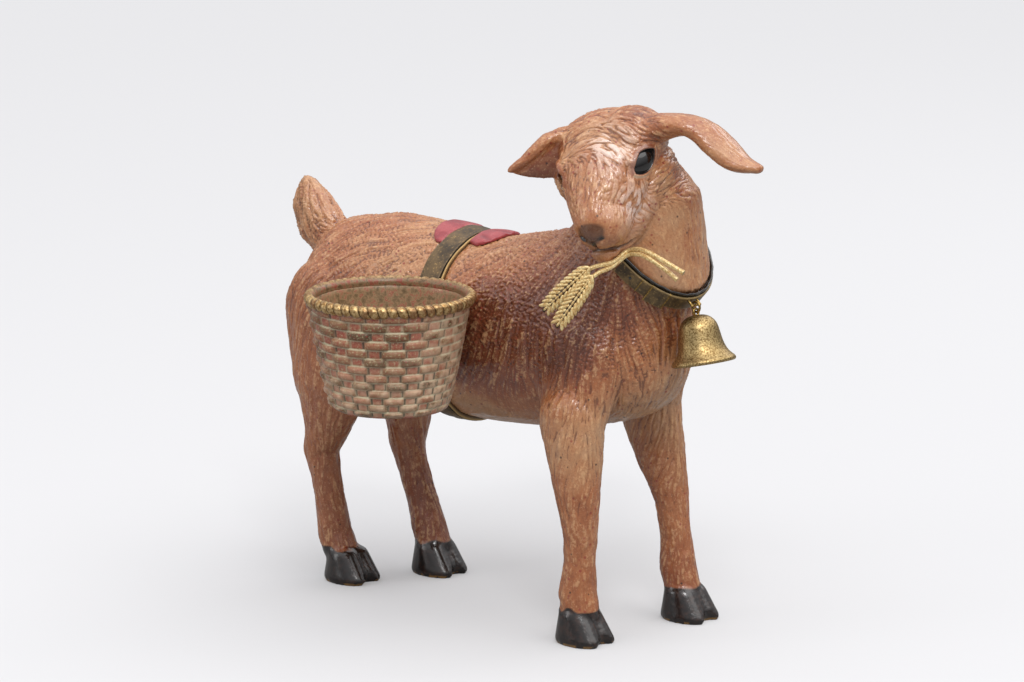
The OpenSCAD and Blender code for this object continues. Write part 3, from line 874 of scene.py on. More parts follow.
def mouth_mask(local):
    """Mouth line round the muzzle, and the groove from it up to the nose."""
    x, y, z = local.T
    line = ridge(z, np.interp(x, MOUTH_X, MOUTH_Z), 0.95) * step(x, 15, 20)
    groove = ridge(y, -1.6, 0.8) * step(x, 22, 25) * step(z, -22.5, -21) * step(-z, 14, 17)
    return np.maximum(line, groove)


def nose_mask(local):
    """Nose pad: wide between the nostrils, narrowing to a V above the lip."""
    rel = local - np.array([31, -1.6, -12.6])
    rise = rel @ np.array([-0.53, 0, 0.85])
    reach = np.hypot(rel[:, 1] / (6.4 + 0.55 * np.clip(rise, -5, 4)), rise / 5.2)
    return step(-reach, -1.25, -0.75) * (rel[:, 0] > -9)


def ear_hollow(v, n):
    """Smooth hollow of the right ear, under the roll."""
    d, share = near_path(v, [row[:3] for row in EAR_LEAF])
    to_roll, _ = near_path(v, [row[:3] for row in EAR_ROLL])
    facing = step(n @ unit([0.5, -0.85, -0.1]), 0.2, 0.6)
    return facing * (d < 9.5) * step(to_roll, 3.0, 5.0) * step(share, 0.05, 0.2)


def make_eyeballs(eyes):
    balls = []
    for mid, along, across, out in eyes:
        rot = HEAD_R @ np.stack([along, across, out], axis=1)
        sunk, bulge = (4.6, 5.4) if mid[1] > 0 else (3.4, 6.2)
        balls.append(ellipsoid(head_world(mid - out * sunk), (8.8, 6.5, bulge), rot, 28, 40))
    eyeballs = new_object("eyeballs", *merge(balls), eye_black)
    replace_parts(eyeballs, "eyes")


def make_head():
    v, q = head_skin()
    n = normals(v, q)
    local = head_local(v)
    n_local = n @ HEAD_R
    mouth = mouth_mask(local)
    lift = dabs(local, FACE) - 1.5 * mouth
    for place in NOSTRILS:
        lift -= 3.0 * spot(local, place, (2.6, 1.9, 1.0))
    hollow = ear_hollow(v, n)
    eyes = []
    dark = np.zeros(len(v))
    pale = np.zeros(len(v))
    bare = np.zeros(len(v))
    for mid, out in EYES:
        mid, along, across, out = eye_frame(mid, out, local, n_local)
        rel = local - mid
        u, w, h = rel @ along, rel @ across, rel @ out
        d = almond(u, w)
        near = (np.abs(h) < 6) * (np.abs(u) < 11) * (np.abs(w) < 8) * (n_local @ out > 0.15)
        lift += near * 0.8 * ridge(d, 0.8, 0.75)
        lift -= near * 0.45 * ridge(d, 2.8, 0.8) * (w > 0)
        lift -= near * 2.4 * step(-d, -0.15, 0.7)
        bare = np.maximum(bare, near * step(-d, -3.2, -1.4))
        dark = np.maximum(dark, near * step(-d, -0.85, -0.1) * 0.9)
        pale = np.maximum(pale, near * ridge(d, 1.4, 0.55) * (w < 0.5) * 0.7)
        eyes.append((mid, along, across, out))
    v = v + n * lift[:, None]
    # the muzzle is slimmer below the cheek
    slim = step(local[:, 0], 12, 25) * np.clip(local[:, 1], 0, None) * 0.27
    v = v - slim[:, None] * HEAD_R[:, 1]
    n = normals(v, q)
    values = blend_marks(v, coat_rows(), 5.5)
    depth, length, tone = values[:, 3:6].T
    flow = sway(v, n, values[:, :3], 9, 0.8)
    local = head_local(v)
    nose = nose_mask(local)
    nostril = sum(spot(local, place, (2.6, 2.2, 1.3)) for place in NOSTRILS)
    dark = np.clip(dark + 0.57 * nose + nostril + 0.6 * mouth, 0, 1)
    depth = depth * (1 - np.clip(bare + nose + hollow, 0, 1))
    hair = carve(v, n, flow, length, 0.72)
    v = v + n * (depth * (hair - HAIR_MID) * 2.2)[:, None]
    n = normals(v, q)
    hair = np.clip(0.75 + (hair - 0.75) * np.clip(depth / 0.25, 0, 1.4), 0, 1)
    tone = tone + 0.25 * (noise(v, 14, 3) - 0.5) + 0.35 * hollow - pale * 0.8 + 0.3 * bare * (pale < 0.2)
    # painted highlight: pale glare patches on the forehead and the cheek
    glare = 1.2 * spot(local, (2, 7, 12), (10, 9, 9)) + 1.1 * spot(local, (14, 13, -9), (9, 8, 8))
    glare *= 1 - dark
    centre = v[q].mean(1)
    region = np.zeros(len(q), int)
    cuts = [(LEFT_EAR, (92.5, -13, 231), (12, 4, 3)), (EAR_LEAF, (54.5, -26, 221.5), (-6, -5, 0.5))]
    for k, (path, at, way) in enumerate(cuts, start=1):
        d, _ = near_path(centre, [row[:3] for row in path])
        region[(d < 16) & ((centre - np.array(at)) @ np.array(way) > 0)] = k
    values = {"tone": tone, "hair": hair, "dark": dark, "worn": np.zeros(len(v)), "glare": glare}
    split(v, q, n, region, HEAD_PIECES, values)
    make_eyeballs(eyes)


make_head()

# ------------------------------------------------------------------ sweeps and lathes


def grid_faces(rows, cols, wrap_rows=False):
    """Faces of a grid of points that closes on itself along its columns."""
    r = np.arange(rows if wrap_rows else rows - 1)[:, None]
    c = np.arange(cols)[None, :]
    a, b = r * cols + c, r * cols + (c + 1) % cols
    up = ((r + 1) % rows) * cols
    return np.stack([a, b, up + (c + 1) % cols, up + c], axis=-1).reshape(-1, 4)


def capped(rings, first, last):
    """Closed solid from rings of points and the two end points."""
    rows, cols = rings.shape[:2]
    v = np.concatenate([rings.reshape(-1, 3), [first, last]])
    n, top = rows * cols, (rows - 1) * cols
    f = grid_faces(rows, cols).tolist()
    f += [[n, (j + 1) % cols, j] for j in range(cols)]
    f += [[n + 1, top + j, top + (j + 1) % cols] for j in range(cols)]
    return v, f


def lathe(rows, cols):
    """Closed solid of revolution about Z from rows of radius and height."""
    a = np.linspace(0, 2 * np.pi, cols, endpoint=False)
    r, z = np.array(rows, float).T[:, :, None]
    rings = np.stack([r * np.cos(a), r * np.sin(a), np.repeat(z, cols, axis=1)], axis=-1)
    return capped(rings, (0, 0, z[0, 0]), (0, 0, z[-1, 0]))


def smooth_path(points, count):
    """Evenly spaced points on a smooth curve through the given ones."""
    p = with_ends(points)
    shares = np.linspace(0, 1, 24, endpoint=False)
    out = [spline(p, k, t) for k in range(1, len(p) - 2) for t in shares]
    out = np.array(out + [p[-2]])
    run = np.concatenate([[0], np.cumsum(np.linalg.norm(np.diff(out, axis=0), axis=1))])
    want = np.linspace(0, run[-1], count)
    return np.stack([np.interp(want, run, out[:, k]) for k in range(3)], axis=1)


def tube(path, radii, cols=16, flute=0.0, up=(0, 0, 1)):
    """Closed tube along a path, with a radius at each point; flute ribs it lengthwise."""
    d = unit(np.gradient(path, axis=0))
    side = unit(np.cross(d, np.array(up, float)))
    rise = np.cross(side, d)
    a = np.linspace(0, 2 * np.pi, cols, endpoint=False)
    r = radii[:, None] * (1 + flute * np.cos(5 * a)[None, :])
    around = np.cos(a)[None, :, None] * side[:, None] + np.sin(a)[None, :, None] * rise[:, None]
    rings = path[:, None, :] + r[..., None] * around
    return capped(rings, path[0] + d[0] * radii[0] * 0.3, path[-1])


# ------------------------------------------------------------------ panniers

PANNIER = {-1: np.array([-12.4, -72.5, 102.2]), 1: np.array([-12.4, 72.5, 99.2])}
PERIODS, COURSES, ROPE_TURNS = 12, 13, 54


def wall_radius(z):
    return FLOOR_R + (MOUTH_R - FLOOR_R) * np.clip(z / PANNIER_H, 0, 1) ** 0.79


def basket_paint():
    p = Paint("basket_paint", Specular_IOR_Level=0.45, Coat_Weight=0.25, Coat_Roughness=0.3)
    tile, gap, inner = p.attr("tile"), p.attr("gap"), p.attr("inner")
    wide = p.noise(16, 3, 0.6)
    small = p.noise(1.0, 2, 0.7)
    c = p.ramp(
        p.plus(tile, p.math("SUBTRACT", wide, 0.5), 0.8),
        [
            (0.0, rgb(92, 70, 42)),
            (0.25, rgb(132, 96, 62)),
            (0.5, rgb(160, 112, 80)),
            (0.75, rgb(170, 106, 80)),
            (1.0, rgb(172, 92, 72)),
        ],
    )
    c = p.over(c, p.band(small, 0.53, 0.66), 0.7, rgb(150, 56, 48))
    c = p.over(c, p.band(small, 0.46, 0.34), 0.6, rgb(202, 184, 146))
    washed = p.times(p.attr("wash"), p.band(p.noise(4, 4, 0.65), 0.34, 0.6))
    c = p.over(c, washed, 0.85, rgb(226, 196, 164))
    rubbed = p.plus(0.5, p.band(p.noise(3, 3, 0.6), 0.25, 0.6), 0.45)
    c = p.over(c, gap, rubbed, rgb(206, 198, 166))
    # painted shade and painted shadow: dark olive in the deepest corners, under the raised tiles and under
    # the rim
    c = p.over(c, p.attr("deep"), 0.8, rgb(54, 44, 30))
    stops = [
        (0.3, rgb(104, 84, 54)),
        (0.45, rgb(134, 108, 76)),
        (0.54, rgb(160, 130, 94)),
        (0.6, rgb(154, 80, 64)),
        (0.7, rgb(186, 160, 120)),
    ]
    c = p.mix(inner, c, p.ramp(p.noise(2.4, 4, 0.7), stops))
    return p.finish(c, p.plus(0.42, small, 0.2), small, 0.12)


def make_basket(side, node, seed):
    """Pannier of wide and narrow tiles in staggered courses."""
    cols = PERIODS * 34
    a = np.linspace(0, 2 * np.pi, cols, endpoint=False)
    # radius, height, and kind: 0 floor and lip, 1 woven outside, 2 inside
    rows = [(6, 0, 0), (14, 0, 0), (20, 0, 0), (23.5, 0, 0), (24.8, 0.15, 0), (25.5, 0.6, 0)]
    rows += [(wall_radius(z), z, 1) for z in np.linspace(1.4, PANNIER_H - 0.2, 118)]
    rows += [(MOUTH_R - 1.0, PANNIER_H, 0), (MOUTH_R - 2.2, PANNIER_H, 2)]
    rows += [(wall_radius(z) - WALL, z, 2) for z in np.linspace(PANNIER_H - 0.8, 5, 26)]
    rows += [(21, 3.7, 2), (18, 3.5, 2), (12, 3.5, 2), (5, 3.5, 2)]
    rows = np.array(rows)
    v, f = lathe(rows[:, :2], cols)
    kind = np.concatenate([np.repeat(rows[:, 2], cols), [0, 2]])
    ang = np.concatenate([np.tile(a, len(rows)), [0, 0]])
    z = v[:, 2]
    outer = kind == 1
    # the courses grow taller up the flaring wall
    turns = COURSES * np.log((2.9 + z / PANNIER_H) / 2.9) / math.log(3.9 / 2.9)
    course = np.floor(turns)
    up = 2 * (turns - course) - 1
    # each strip wanders a little, as woven cane does
    jig = 0.10 * np.sin(course * 7.3 + seed) + 0.05 * np.sin(3 * ang + course * 2.1)
    place = ang / (2 * np.pi) * PERIODS + 0.5 * (course % 2)
    across = (place + jig * 0.5) % 1.0
    wide = np.abs(across - 0.5) / 0.315
    narrow = np.minimum(across, 1 - across) / 0.15
    bump_w = np.clip(1 - wide**8, 0, 1) * np.clip(1 - np.abs(up * 1.04) ** 6, 0, 1)
    bump_n = np.clip(1 - narrow**6, 0, 1) * np.clip(1 - np.abs(up * 1.18) ** 6, 0, 1)
    arch = (1 - 0.45 * wide**2) * (1 - 0.35 * up**2)
    fade = 0.22 + 0.78 * step(np.cos(ang - math.radians(-28 * side)), 0.95, 0.35)
    relief = (2.1 * bump_w * arch + 0.5 * bump_n * (1 - 0.3 * up**2)) * fade
    # the lowest strip rolls under the floor
    relief *= step(z, 0.5, 2.5)
    grain = 0.12 * (noise(np.stack([ang * 30, z, z * 0], axis=1), 0.9, seed) - 0.5)
    r = np.hypot(v[:, 0], v[:, 1])
    lift = np.where(outer, relief - 0.8 + grain, 0.25 * (noise(v, 2.2, seed) - 0.5) * (kind == 2))
    scale = np.where(r > 3, (r + lift) / np.maximum(r, 1e-6), 1)
    v[:, :2] *= scale[:, None]
    v = v + PANNIER[side]
    # cream rubbed on the tile edges; painted shade in the deepest corners, and painted shadow under each
    # raised tile and under the rope rim
    both = np.maximum(bump_w, bump_n)
    edge = outer * step(np.abs(up), 0.72, 0.86) * (1 - step(both, 0.3, 0.75)) * (noise(v, 7, seed + 5) > 0.3)
    gap = outer * (1 - step(both, 0.1, 0.6))
    gap = np.maximum(gap * (0.45 + 0.4 * (1 - step(z, 8, 40))), edge)
    deep = outer * (1 - step(both, 0.0, 0.3)) * (np.abs(up) < 0.8) * (noise(v, 9, seed) > 0.35)
    deep = np.maximum(deep, outer * 0.8 * step(bump_w, 0.1, 0.6) * step(-up, 0.62, 0.9) * fade)
    deep = np.maximum(deep, outer * step(z, PANNIER_H - 2.6, PANNIER_H - 0.8) * 0.9)
    patch = noise(np.stack([course * 3, np.floor(place), z * 0], 1), 1.7, seed)
    olive = step(np.sin(course * 1.9 + 0.6), 0.1, 0.8) * 0.35
    tone = np.where(bump_w > bump_n, 0.25 + 0.5 * patch - olive, 0.85)
    wash = outer * np.clip((1 - fade) * 0.9 + 0.6 * (1 - step(z, 6, 34)), 0, 1)
    ob = new_object(f"{node}_woven", v, f, basket_mat)
    add_values(ob, tile=tone, gap=gap, deep=deep, wash=wash, inner=(kind == 2) * 1.0)
    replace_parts(ob, node)


def make_rim(side, node):
    """Rope of slanting turns round the mouth, smooth on its inner face."""
    cols, around = ROPE_TURNS * 12, 22
    a = np.linspace(0, 2 * np.pi, cols, endpoint=False)
    b = np.linspace(0, 2 * np.pi, around, endpoint=False)
    aa, bb = np.meshgrid(a, b)
    bead = np.abs(np.cos(0.5 * ROPE_TURNS * aa + 0.5 * bb)) ** 0.42
    outside = step(np.cos(bb), -0.35, 0.25)
    sec = 2.95 - 1.35 * (1 - bead) * outside - 0.1 * (1 - outside)
    speck = noise(np.stack([aa.ravel() * 35, bb.ravel() * 3, 0 * aa.ravel()], 1), 2.5).reshape(aa.shape)
    sec = sec + 0.14 * (speck - 0.5)
    r = np.maximum(MOUTH_R - WALL / 2 + 0.4 + sec * np.cos(bb), MOUTH_R - WALL - 0.05)
    # the inner half is pressed down towards the mouth
    within = np.clip(-np.cos(bb), 0, 1)
    height = np.where(np.sin(bb) > 0, 0.86, 1.15) * (1 - 0.7 * within)
    z = PANNIER_H + 1.2 - 0.9 * within + sec * np.sin(bb) * height
    v = np.stack([r * np.cos(aa), r * np.sin(aa), z], axis=-1).reshape(-1, 3) + PANNIER[side]
    f = grid_faces(around, cols, wrap_rows=True)
    ob = new_object(f"{node}_rope", v, f[:, ::-1], rim_mat)
    add_values(ob, gap=((1 - bead) * outside).ravel(), inner=step(-np.cos(bb), 0.02, 0.3).ravel())
    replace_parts(ob, node)


def rim_paint():
    p = Paint("rim_paint", Metallic=0.75, Specular_IOR_Level=0.5)
    n = p.noise(1.2, 3, 0.7)
    c = p.mix(p.band(n, 0.35, 0.65), rgb(146, 108, 62), rgb(214, 184, 132))
    c = p.over(c, p.band(p.noise(6, 2), 0.48, 0.66), 0.6, rgb(126, 80, 54))
    c = p.mix(p.band(p.attr("gap"), 0.3, 0.75), c, rgb(74, 52, 28))
    # gold outside, plain paint inside
    stops = [(0.35, rgb(96, 74, 50)), (0.5, rgb(142, 114, 82)), (0.6, rgb(146, 76, 60))]
    c = p.mix(p.attr("inner"), c, p.ramp(p.noise(2.4, 4, 0.7), stops))
    shine = p.times(p.math("SUBTRACT", 1.0, p.attr("inner")), 0.75)
    return p.finish(c, p.plus(0.26, n, 0.25), n, 0.06, shine)


basket_mat = basket_paint()
rim_mat = rim_paint()
for side, node, seed in ((-1, "right_basket", 1.0), (1, "left_basket", 2.0)):
    make_basket(side, node, seed)
    make_rim(side, f"{node}_rim")

# ------------------------------------------------------------------ girth strap and saddle pad


def strap_paint(name, light, dark, gold):
    p = Paint(name, Specular_IOR_Level=0.5, Metallic=0.35, Coat_Weight=0.15, Coat_Roughness=0.3)
    n = p.noise(1.1, 3, 0.7)
    w = p.noise(8, 3, 0.6)
    c = p.mix(p.band(w, 0.35, 0.65), light, dark)
    c = p.over(c, p.band(n, 0.56, 0.68), 0.6, gold)
    c = p.over(c, p.band(n, 0.42, 0.3), 0.6, rgb(30, 26, 18))
    c = p.mix(p.attr("edge"), c, gold)
    c = p.mix(p.attr("black"), c, rgb(16, 13, 11))
    return p.finish(c, p.plus(0.34, n, 0.25), n, 0.08)


strap_mat = strap_paint("girth_paint", rgb(112, 90, 60), rgb(70, 56, 38), rgb(186, 152, 96))
collar_mat = strap_paint("collar_paint", rgb(124, 102, 66), rgb(74, 60, 40), rgb(200, 168, 108))


def skin_radius(x, angles):
    """Distance from the barrel's axis out to the skin at one station."""
    centre = np.array([x, 0, BARREL_Z])
    out = []
    for a in angles:
        hit = trunk_tree.ray_cast(Vector(centre), Vector((0, math.cos(a), math.sin(a))))
        out.append(hit[3] if hit[0] is not None else np.nan)
    return np.array(out)


def make_girth():
    turns = 300
    a = np.linspace(0, 2 * np.pi, turns, endpoint=False)
    stations = np.linspace(-GIRTH_W / 2, GIRTH_W / 2, 7)
    table = np.array([skin_radius(GIRTH_X + s, a) for s in stations])
    kernel = np.hanning(9)
    kernel /= kernel.sum()
    table = np.array([np.convolve(np.concatenate([t[-4:], t, t[:4]]), kernel, "valid") for t in table])
    # across the width: place, height over the skin, gold edge, black
    half = GIRTH_W / 2
    profile = [
        (-half, -0.5, 0, 0),
        (-half, 0.7, 0, 0),
        (-half + 0.1, 1.5, 0, 0),
        (-half + 0.45, 1.95, 0.2, 0),
        (-half + 1.2, 2.08, 0, 0),
        (-3, 2.1, 0, 0),
        (-1, 2.13, 0, 0),
        (1, 2.13, 0, 0),
        (3, 2.1, 0, 0),
        (half - 2.6, 2.08, 0, 0),
        (half - 2.2, 1.95, 0.1, 0),
        (half - 2.0, 1.5, 0, 0.8),
        (half - 1.9, 0.7, 0, 1),
        (half - 1.4, 0.6, 0, 1),
        (half - 1.15, 1.2, 0.4, 0.6),
        (half - 0.9, 1.75, 1, 0),
        (half - 0.5, 1.9, 1, 0),
        (half - 0.1, 1.6, 1, 0),
        (half, 0.8, 0.2, 0.3),
        (half, -0.5, 0, 0.5),
    ]
    v, edge, black = [], [], []
    for x, h, g, b in profile:
        r = np.array([np.interp(x, stations, table[:, k]) for k in range(turns)]) + h
        r = r + 0.12 * np.sin(9 * a + x) * (h > 1.5)
        v.append(np.stack([np.full(turns, GIRTH_X + x), r * np.cos(a), BARREL_Z + r * np.sin(a)], axis=1))
        edge.append(np.full(turns, g))
        black.append(np.full(turns, b))
    f = grid_faces(len(profile), turns, wrap_rows=True)
    ob = new_object("girth_band", np.concatenate(v), f, strap_mat)
    add_values(ob, edge=np.concatenate(edge), black=np.concatenate(black))
    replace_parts(ob, "girth_strap")


def pad_paint():
    p = Paint("pad_paint", Specular_IOR_Level=0.5, Coat_Weight=0.4, Coat_Roughness=0.25)
    n = p.noise(1.0, 3, 0.7)
    c = p.mix(p.band(p.noise(7, 3), 0.35, 0.65), rgb(150, 50, 58), rgb(172, 70, 74))
    c = p.over(c, p.band(n, 0.55, 0.7), 0.5, rgb(150, 44, 52))
    c = p.over(c, p.band(n, 0.42, 0.3), 0.35, rgb(226, 140, 132))
    # painted shade: darker red in the folds and on the downward-facing sides of the pad
    c = p.mix(p.attr("fold"), c, rgb(112, 32, 40))
    return p.finish(c, p.plus(0.34, n, 0.2), n, 0.06)


def make_pad():
    v, q = remesh("pad_skin", ["saddle_pad"], [], 0.55, 6)
    n = normals(v, q)
    front = v[:, 0] > GIRTH_X
    # folds fan out from the strap over each lobe
    dx, dy = v[:, 0] - GIRTH_X, v[:, 1]
    fan = np.arctan2(dy, np.abs(dx) + 8)
    fold = np.clip(np.cos(fan * np.where(front, 15, 9)), 0, 1) ** 3 * step(np.abs(dx), 7, 11)
    fold *= np.where(front, 1.0, 0.5)
    top = step(n[:, 2], 0.1, 0.6)
    x, y = v[:, 0], v[:, 1]
    lobe = np.where(front, np.hypot((x + 12.5) / 9, y / 14), np.hypot((x + 32) / 9.5, y / 17))
    puff = np.clip(1 - lobe**3, 0, 1)
    lift = top * (0.9 * puff - 0.7 * fold * (1 - 0.5 * lobe))
    v = v + n * lift[:, None]
    n = normals(v, q)
    ob = new_object("saddle_pad_folds", v, q, pad_paint())
    # the fold value carries painted shade: the folds on top, and the sides that face downwards
    add_values(ob, fold=np.clip(fold * top * 0.55 + step(n[:, 2], 0.15, -0.2) * 0.4, 0, 1))
    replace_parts(ob, "saddle_pad")


make_girth()
make_pad()

# ------------------------------------------------------------------ grain sprig

STEM_A = [(119, -30, 173), (112, -32, 176.5), (105, -33, 179.5), (97, -32.5, 181), (90, -32.5, 179.5)]
STEM_A += [(88, -40, 175.5), (84.5, -48, 174.2), (81.5, -53.5, 172)]
STEM_B = [(115.5, -30, 169.5), (110, -32.5, 174.3), (104, -34, 177.6), (97, -33.5, 179), (90, -33.5, 177.5)]
STEM_B += [(88, -41, 173.5), (86, -48, 171.5), (83.5, -53, 168)]
SPRAYS = [((83.6, -52, 173.8), (65.3, -60, 154)), ((85.3, -52, 170), (72.7, -60, 147.8))]


def straw_paint():
    p = Paint("straw_paint", Specular_IOR_Level=0.5, Metallic=0.3, Coat_Weight=0.3, Coat_Roughness=0.2)
    n = p.noise(0.9, 3, 0.7)
    c = p.mix(p.band(n, 0.35, 0.65), rgb(196, 152, 88), rgb(244, 222, 164))
    # dark brown where low is high: real patches and cut ends on the stems, painted shade in and behind the
    # grain heads
    c = p.mix(p.band(p.attr("low"), 0.2, 0.9), c, rgb(74, 48, 24))
    return p.finish(c, p.plus(0.3, n, 0.2), n, 0.05)


def make_sprig():
    straw = straw_paint()
    parts, low = [], []
    for path in (STEM_A, STEM_B):
        pts = smooth_path(path, 110)
        t = np.linspace(0, 1, len(pts))
        radii = 1.06 + 0.1 * np.cos(t * 40) * 0.5 - 0.12 * t
        radii[:2] += 0.1
        v, f = tube(pts, radii, 20, 0.06)
        parts.append((v, f))
        # darker in patches and on the cut end
        cut_end = np.linalg.norm(v - pts[0], axis=1) < 0.9
        low.append(np.clip(0.1 + 0.4 * (noise(v, 3, 3) - 0.5) + 0.5 * cut_end, 0, 1))
    ob = new_object("straw_stems", *merge(parts), straw)
    add_values(ob, low=np.concatenate(low))
    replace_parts(ob, "wheat_stems")
    parts, low = [], []
    for base, tip in SPRAYS:
        base, tip = np.array(base), np.array(tip)
        axis = unit(tip - base)
        out = np.array([0.45, -0.88, 0.12])
        out = unit(out - (out @ axis) * axis)
        side = np.cross(axis, out)
        span = np.linalg.norm(tip - base)
        core = smooth_path([base, base * 0.6 + tip * 0.4, tip], 20)
        swell = np.sin(np.linspace(0.35, 2.75, 20)) * 1.5 + 0.25
        # painted shade: the core of each head is dark
        parts.append(tube(core, swell, 14, up=out))
        low.append(np.ones(len(parts[-1][0])) * 0.9)
        count = 11
        for k in range(count):
            t = 0.04 + 0.86 * k / (count - 1)
            w = math.sin(math.pi * (0.16 + 0.78 * t)) ** 0.7
            at = base + axis * span * t
            for s in (-1, 1):
                lean = math.radians(34)
                along = axis * math.cos(lean) + side * s * math.sin(lean)
                rot = np.stack([along, np.cross(out, along), out], axis=1)
                place = at + side * s * 2.35 * w + out * (0.75 * w)
                v, f = ellipsoid(place, (3.2, 0.95, 1.25 * w + 0.15), rot, 10, 14)
                parts.append((v, f))
                # painted shade: each grain darkens towards its back
                low.append(step((v - at) @ out, 1.5 * w, 0.2))
            rot = np.stack([axis, side, out], axis=1)
            v, f = ellipsoid(at + axis * 0.8 + out * (1.25 * w), (1.5, 0.62, 0.75), rot, 8, 12)
            parts.append((v, f))
            # painted shade towards the back of the middle grain
            low.append(step((v - at) @ out, 1.6 * w, 0.6))
            # dark backing behind the grains, painted shade between them
            back = ellipsoid(at - out * 0.7 * w, (2.0, 3.4 * w, 0.9), rot, 8, 12)
            parts.append(back)
            low.append(np.full(len(back[0]), 0.8))
    ob = new_object("grain_heads", *merge(parts), straw)
    add_values(ob, low=np.concatenate(low))
    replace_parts(ob, "wheat_ears")


make_sprig()

# ------------------------------------------------------------------ collar

HALF = COLLAR_W / 2


def collar_sweep(name, profile, mat, a0=0.0, a1=360.0, count=360, wave=None):
    """Band round the neck; the profile rows are offset outwards, place across the width, gold, black."""
    closed = a1 - a0 >= 360
    a = np.radians(np.linspace(a0, a1, count, endpoint=not closed))
    ring = np.stack([COLLAR_A * np.cos(a), COLLAR_B * np.sin(a), 0 * a], axis=1)
    out = unit(np.stack([np.cos(a) / COLLAR_A, np.sin(a) / COLLAR_B, 0 * a], axis=1))
    v, edge, black = [], [], []
    for o, w, g, b in profile:
        extra = wave(a, o, w) if wave else 0 * a
        row = ring + out * (o + extra)[:, None]
        row[:, 2] = w
        v.append(row)
        edge.append(np.full(count, g))
        black.append(np.full(count, b))
    v = np.concatenate(v) @ NECK_R.T + NECK_C
    if closed:
        f = grid_faces(len(profile), count, wrap_rows=True).tolist()
    else:
        rows = len(profile)
        r, c = np.meshgrid(np.arange(rows), np.arange(count - 1), indexing="ij")
        low, high = r * count + c, (r + 1) % rows * count + c
        f = np.stack([low, low + 1, high + 1, high], -1).reshape(-1, 4).tolist()
        f.append([k * count for k in range(rows)])
        f.append([k * count + count - 1 for k in range(rows)][::-1])
    ob = new_object(name, v, f, mat)
    add_values(ob, edge=np.concatenate(edge), black=np.concatenate(black))
    return ob


def band_profile(inner, outer, lo, hi, gold=0.0):
    """Round-edged band section, from its inner low corner round the outside."""
    e = min(0.4, (outer - inner) * 0.45)
    rows = [(inner, lo + 0.2, 0, 0.3), (inner + 0.2, lo, 0, 0.3)]
    rows += [(outer - e, lo, gold, 0), (outer - e * 0.3, lo + e * 0.35, gold, 0)]
    rows += [(outer, lo + e, gold * 0.6, 0)]
    rows += [(outer, w, 0, 0) for w in np.linspace(lo + 1.0, hi - 1.0, 7)]
    rows += [(outer, hi - e, gold * 0.6, 0), (outer - e * 0.3, hi - e * 0.35, gold, 0)]
    rows += [(outer - e, hi, gold, 0)]
    rows += [(inner + 0.2, hi, 0, 0.3), (inner, hi - 0.2, 0, 0.3)]
    rows += [(inner, w, 0, 0.3) for w in np.linspace(hi - 1.2, lo + 1.2, 4)]
    return rows


def hammered(a, o, w):
    """Beaten outside of the strap."""
    p = np.stack([COLLAR_A * np.cos(a), COLLAR_B * np.sin(a), 0 * a + w], axis=1)
    return 0.16 * (noise(p, 3.2, 4) - 0.5) * (o > 0.8)


def ripple(a, o, w):
    """Uneven upper edge of the lining."""
    rough = noise(np.stack([a * 30, w + 0 * a, 0 * a], 1), 2, 6)
    return 0.3 * (np.sin(23 * a) * 0.5 + rough - 0.5) * (w > HALF)


def make_collar():
    band = band_profile(0.02, COLLAR_T, -HALF, HALF, 0.35)
    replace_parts(collar_sweep("collar_band", band, collar_mat, wave=hammered), "collar_strap")
    edge = [(-0.85, -HALF - 0.3), (-0.1, -HALF - 0.3), (-0.05, 0), (-0.05, HALF - 0.2), (0.25, HALF + 0.5)]
    edge += [(0.4, HALF + 1.2), (0.1, HALF + 1.7), (-0.5, HALF + 1.6), (-0.85, HALF + 0.9)]
    edge = [(*row, 0, 1) for row in edge]
    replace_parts(collar_sweep("collar_lining_edge", edge, lining_black, wave=ripple), "collar_lining")
    # keeper: a loop of the same leather with a bright edge each side
    keeper = band_profile(1.32, 2.35, -HALF - 1.0, HALF + 1.0, 0.3)
    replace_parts(collar_sweep("collar_keeper_band", keeper, collar_mat, -44, -28, 30), "collar_keeper")
    bright = band_profile(1.25, 2.55, -HALF - 1.1, HALF + 1.1, 1.0)
    for k, a0 in enumerate((-44.6, -28.2)):
        collar_sweep(f"keeper_edge_{k + 1}", bright, edge_mat, a0, a0 + 0.9, 5)
    collar_sweep("strap_seam", band_profile(1.2, 1.72, -HALF, HALF, 1.0), edge_mat, -53.6, -52.8, 5)
    # round punched hole
    a = math.radians(-62)
    at = np.array([COLLAR_A * math.cos(a), COLLAR_B * math.sin(a), 0])
    out = unit(np.array([math.cos(a) / COLLAR_A, math.sin(a) / COLLAR_B, 0]))
    side = np.cross(out, [0, 0, 1])
    rot = np.stack([side, np.array([0, 0, 1.0]), out], axis=1)
    disc = ellipsoid(at + out * 1.28, (0.75, 0.75, 0.12), rot, 8, 20)
    new_object("punched_hole", disc[0] @ NECK_R.T + NECK_C, disc[1], lining_black)


edge_mat = brass("edge_gold", rgb(206, 172, 104), rgb(110, 88, 48), 0.6, 0.3)
make_collar()

# ------------------------------------------------------------------ bell and hardware

BAR_OUT = COLLAR_T + 3 * WIRE_R + 3 * LINK_GAP
BAR = NECK_C + NECK_R @ np.array([COLLAR_A + BAR_OUT, 0, STAPLE_UP])
BELL_TOP = BAR - np.array([0, 0, 2 * RING_R - 2 * WIRE_R - LINK_GAP])
BELL_R = turn(0, -BELL_LEAN, NECK_YAW)
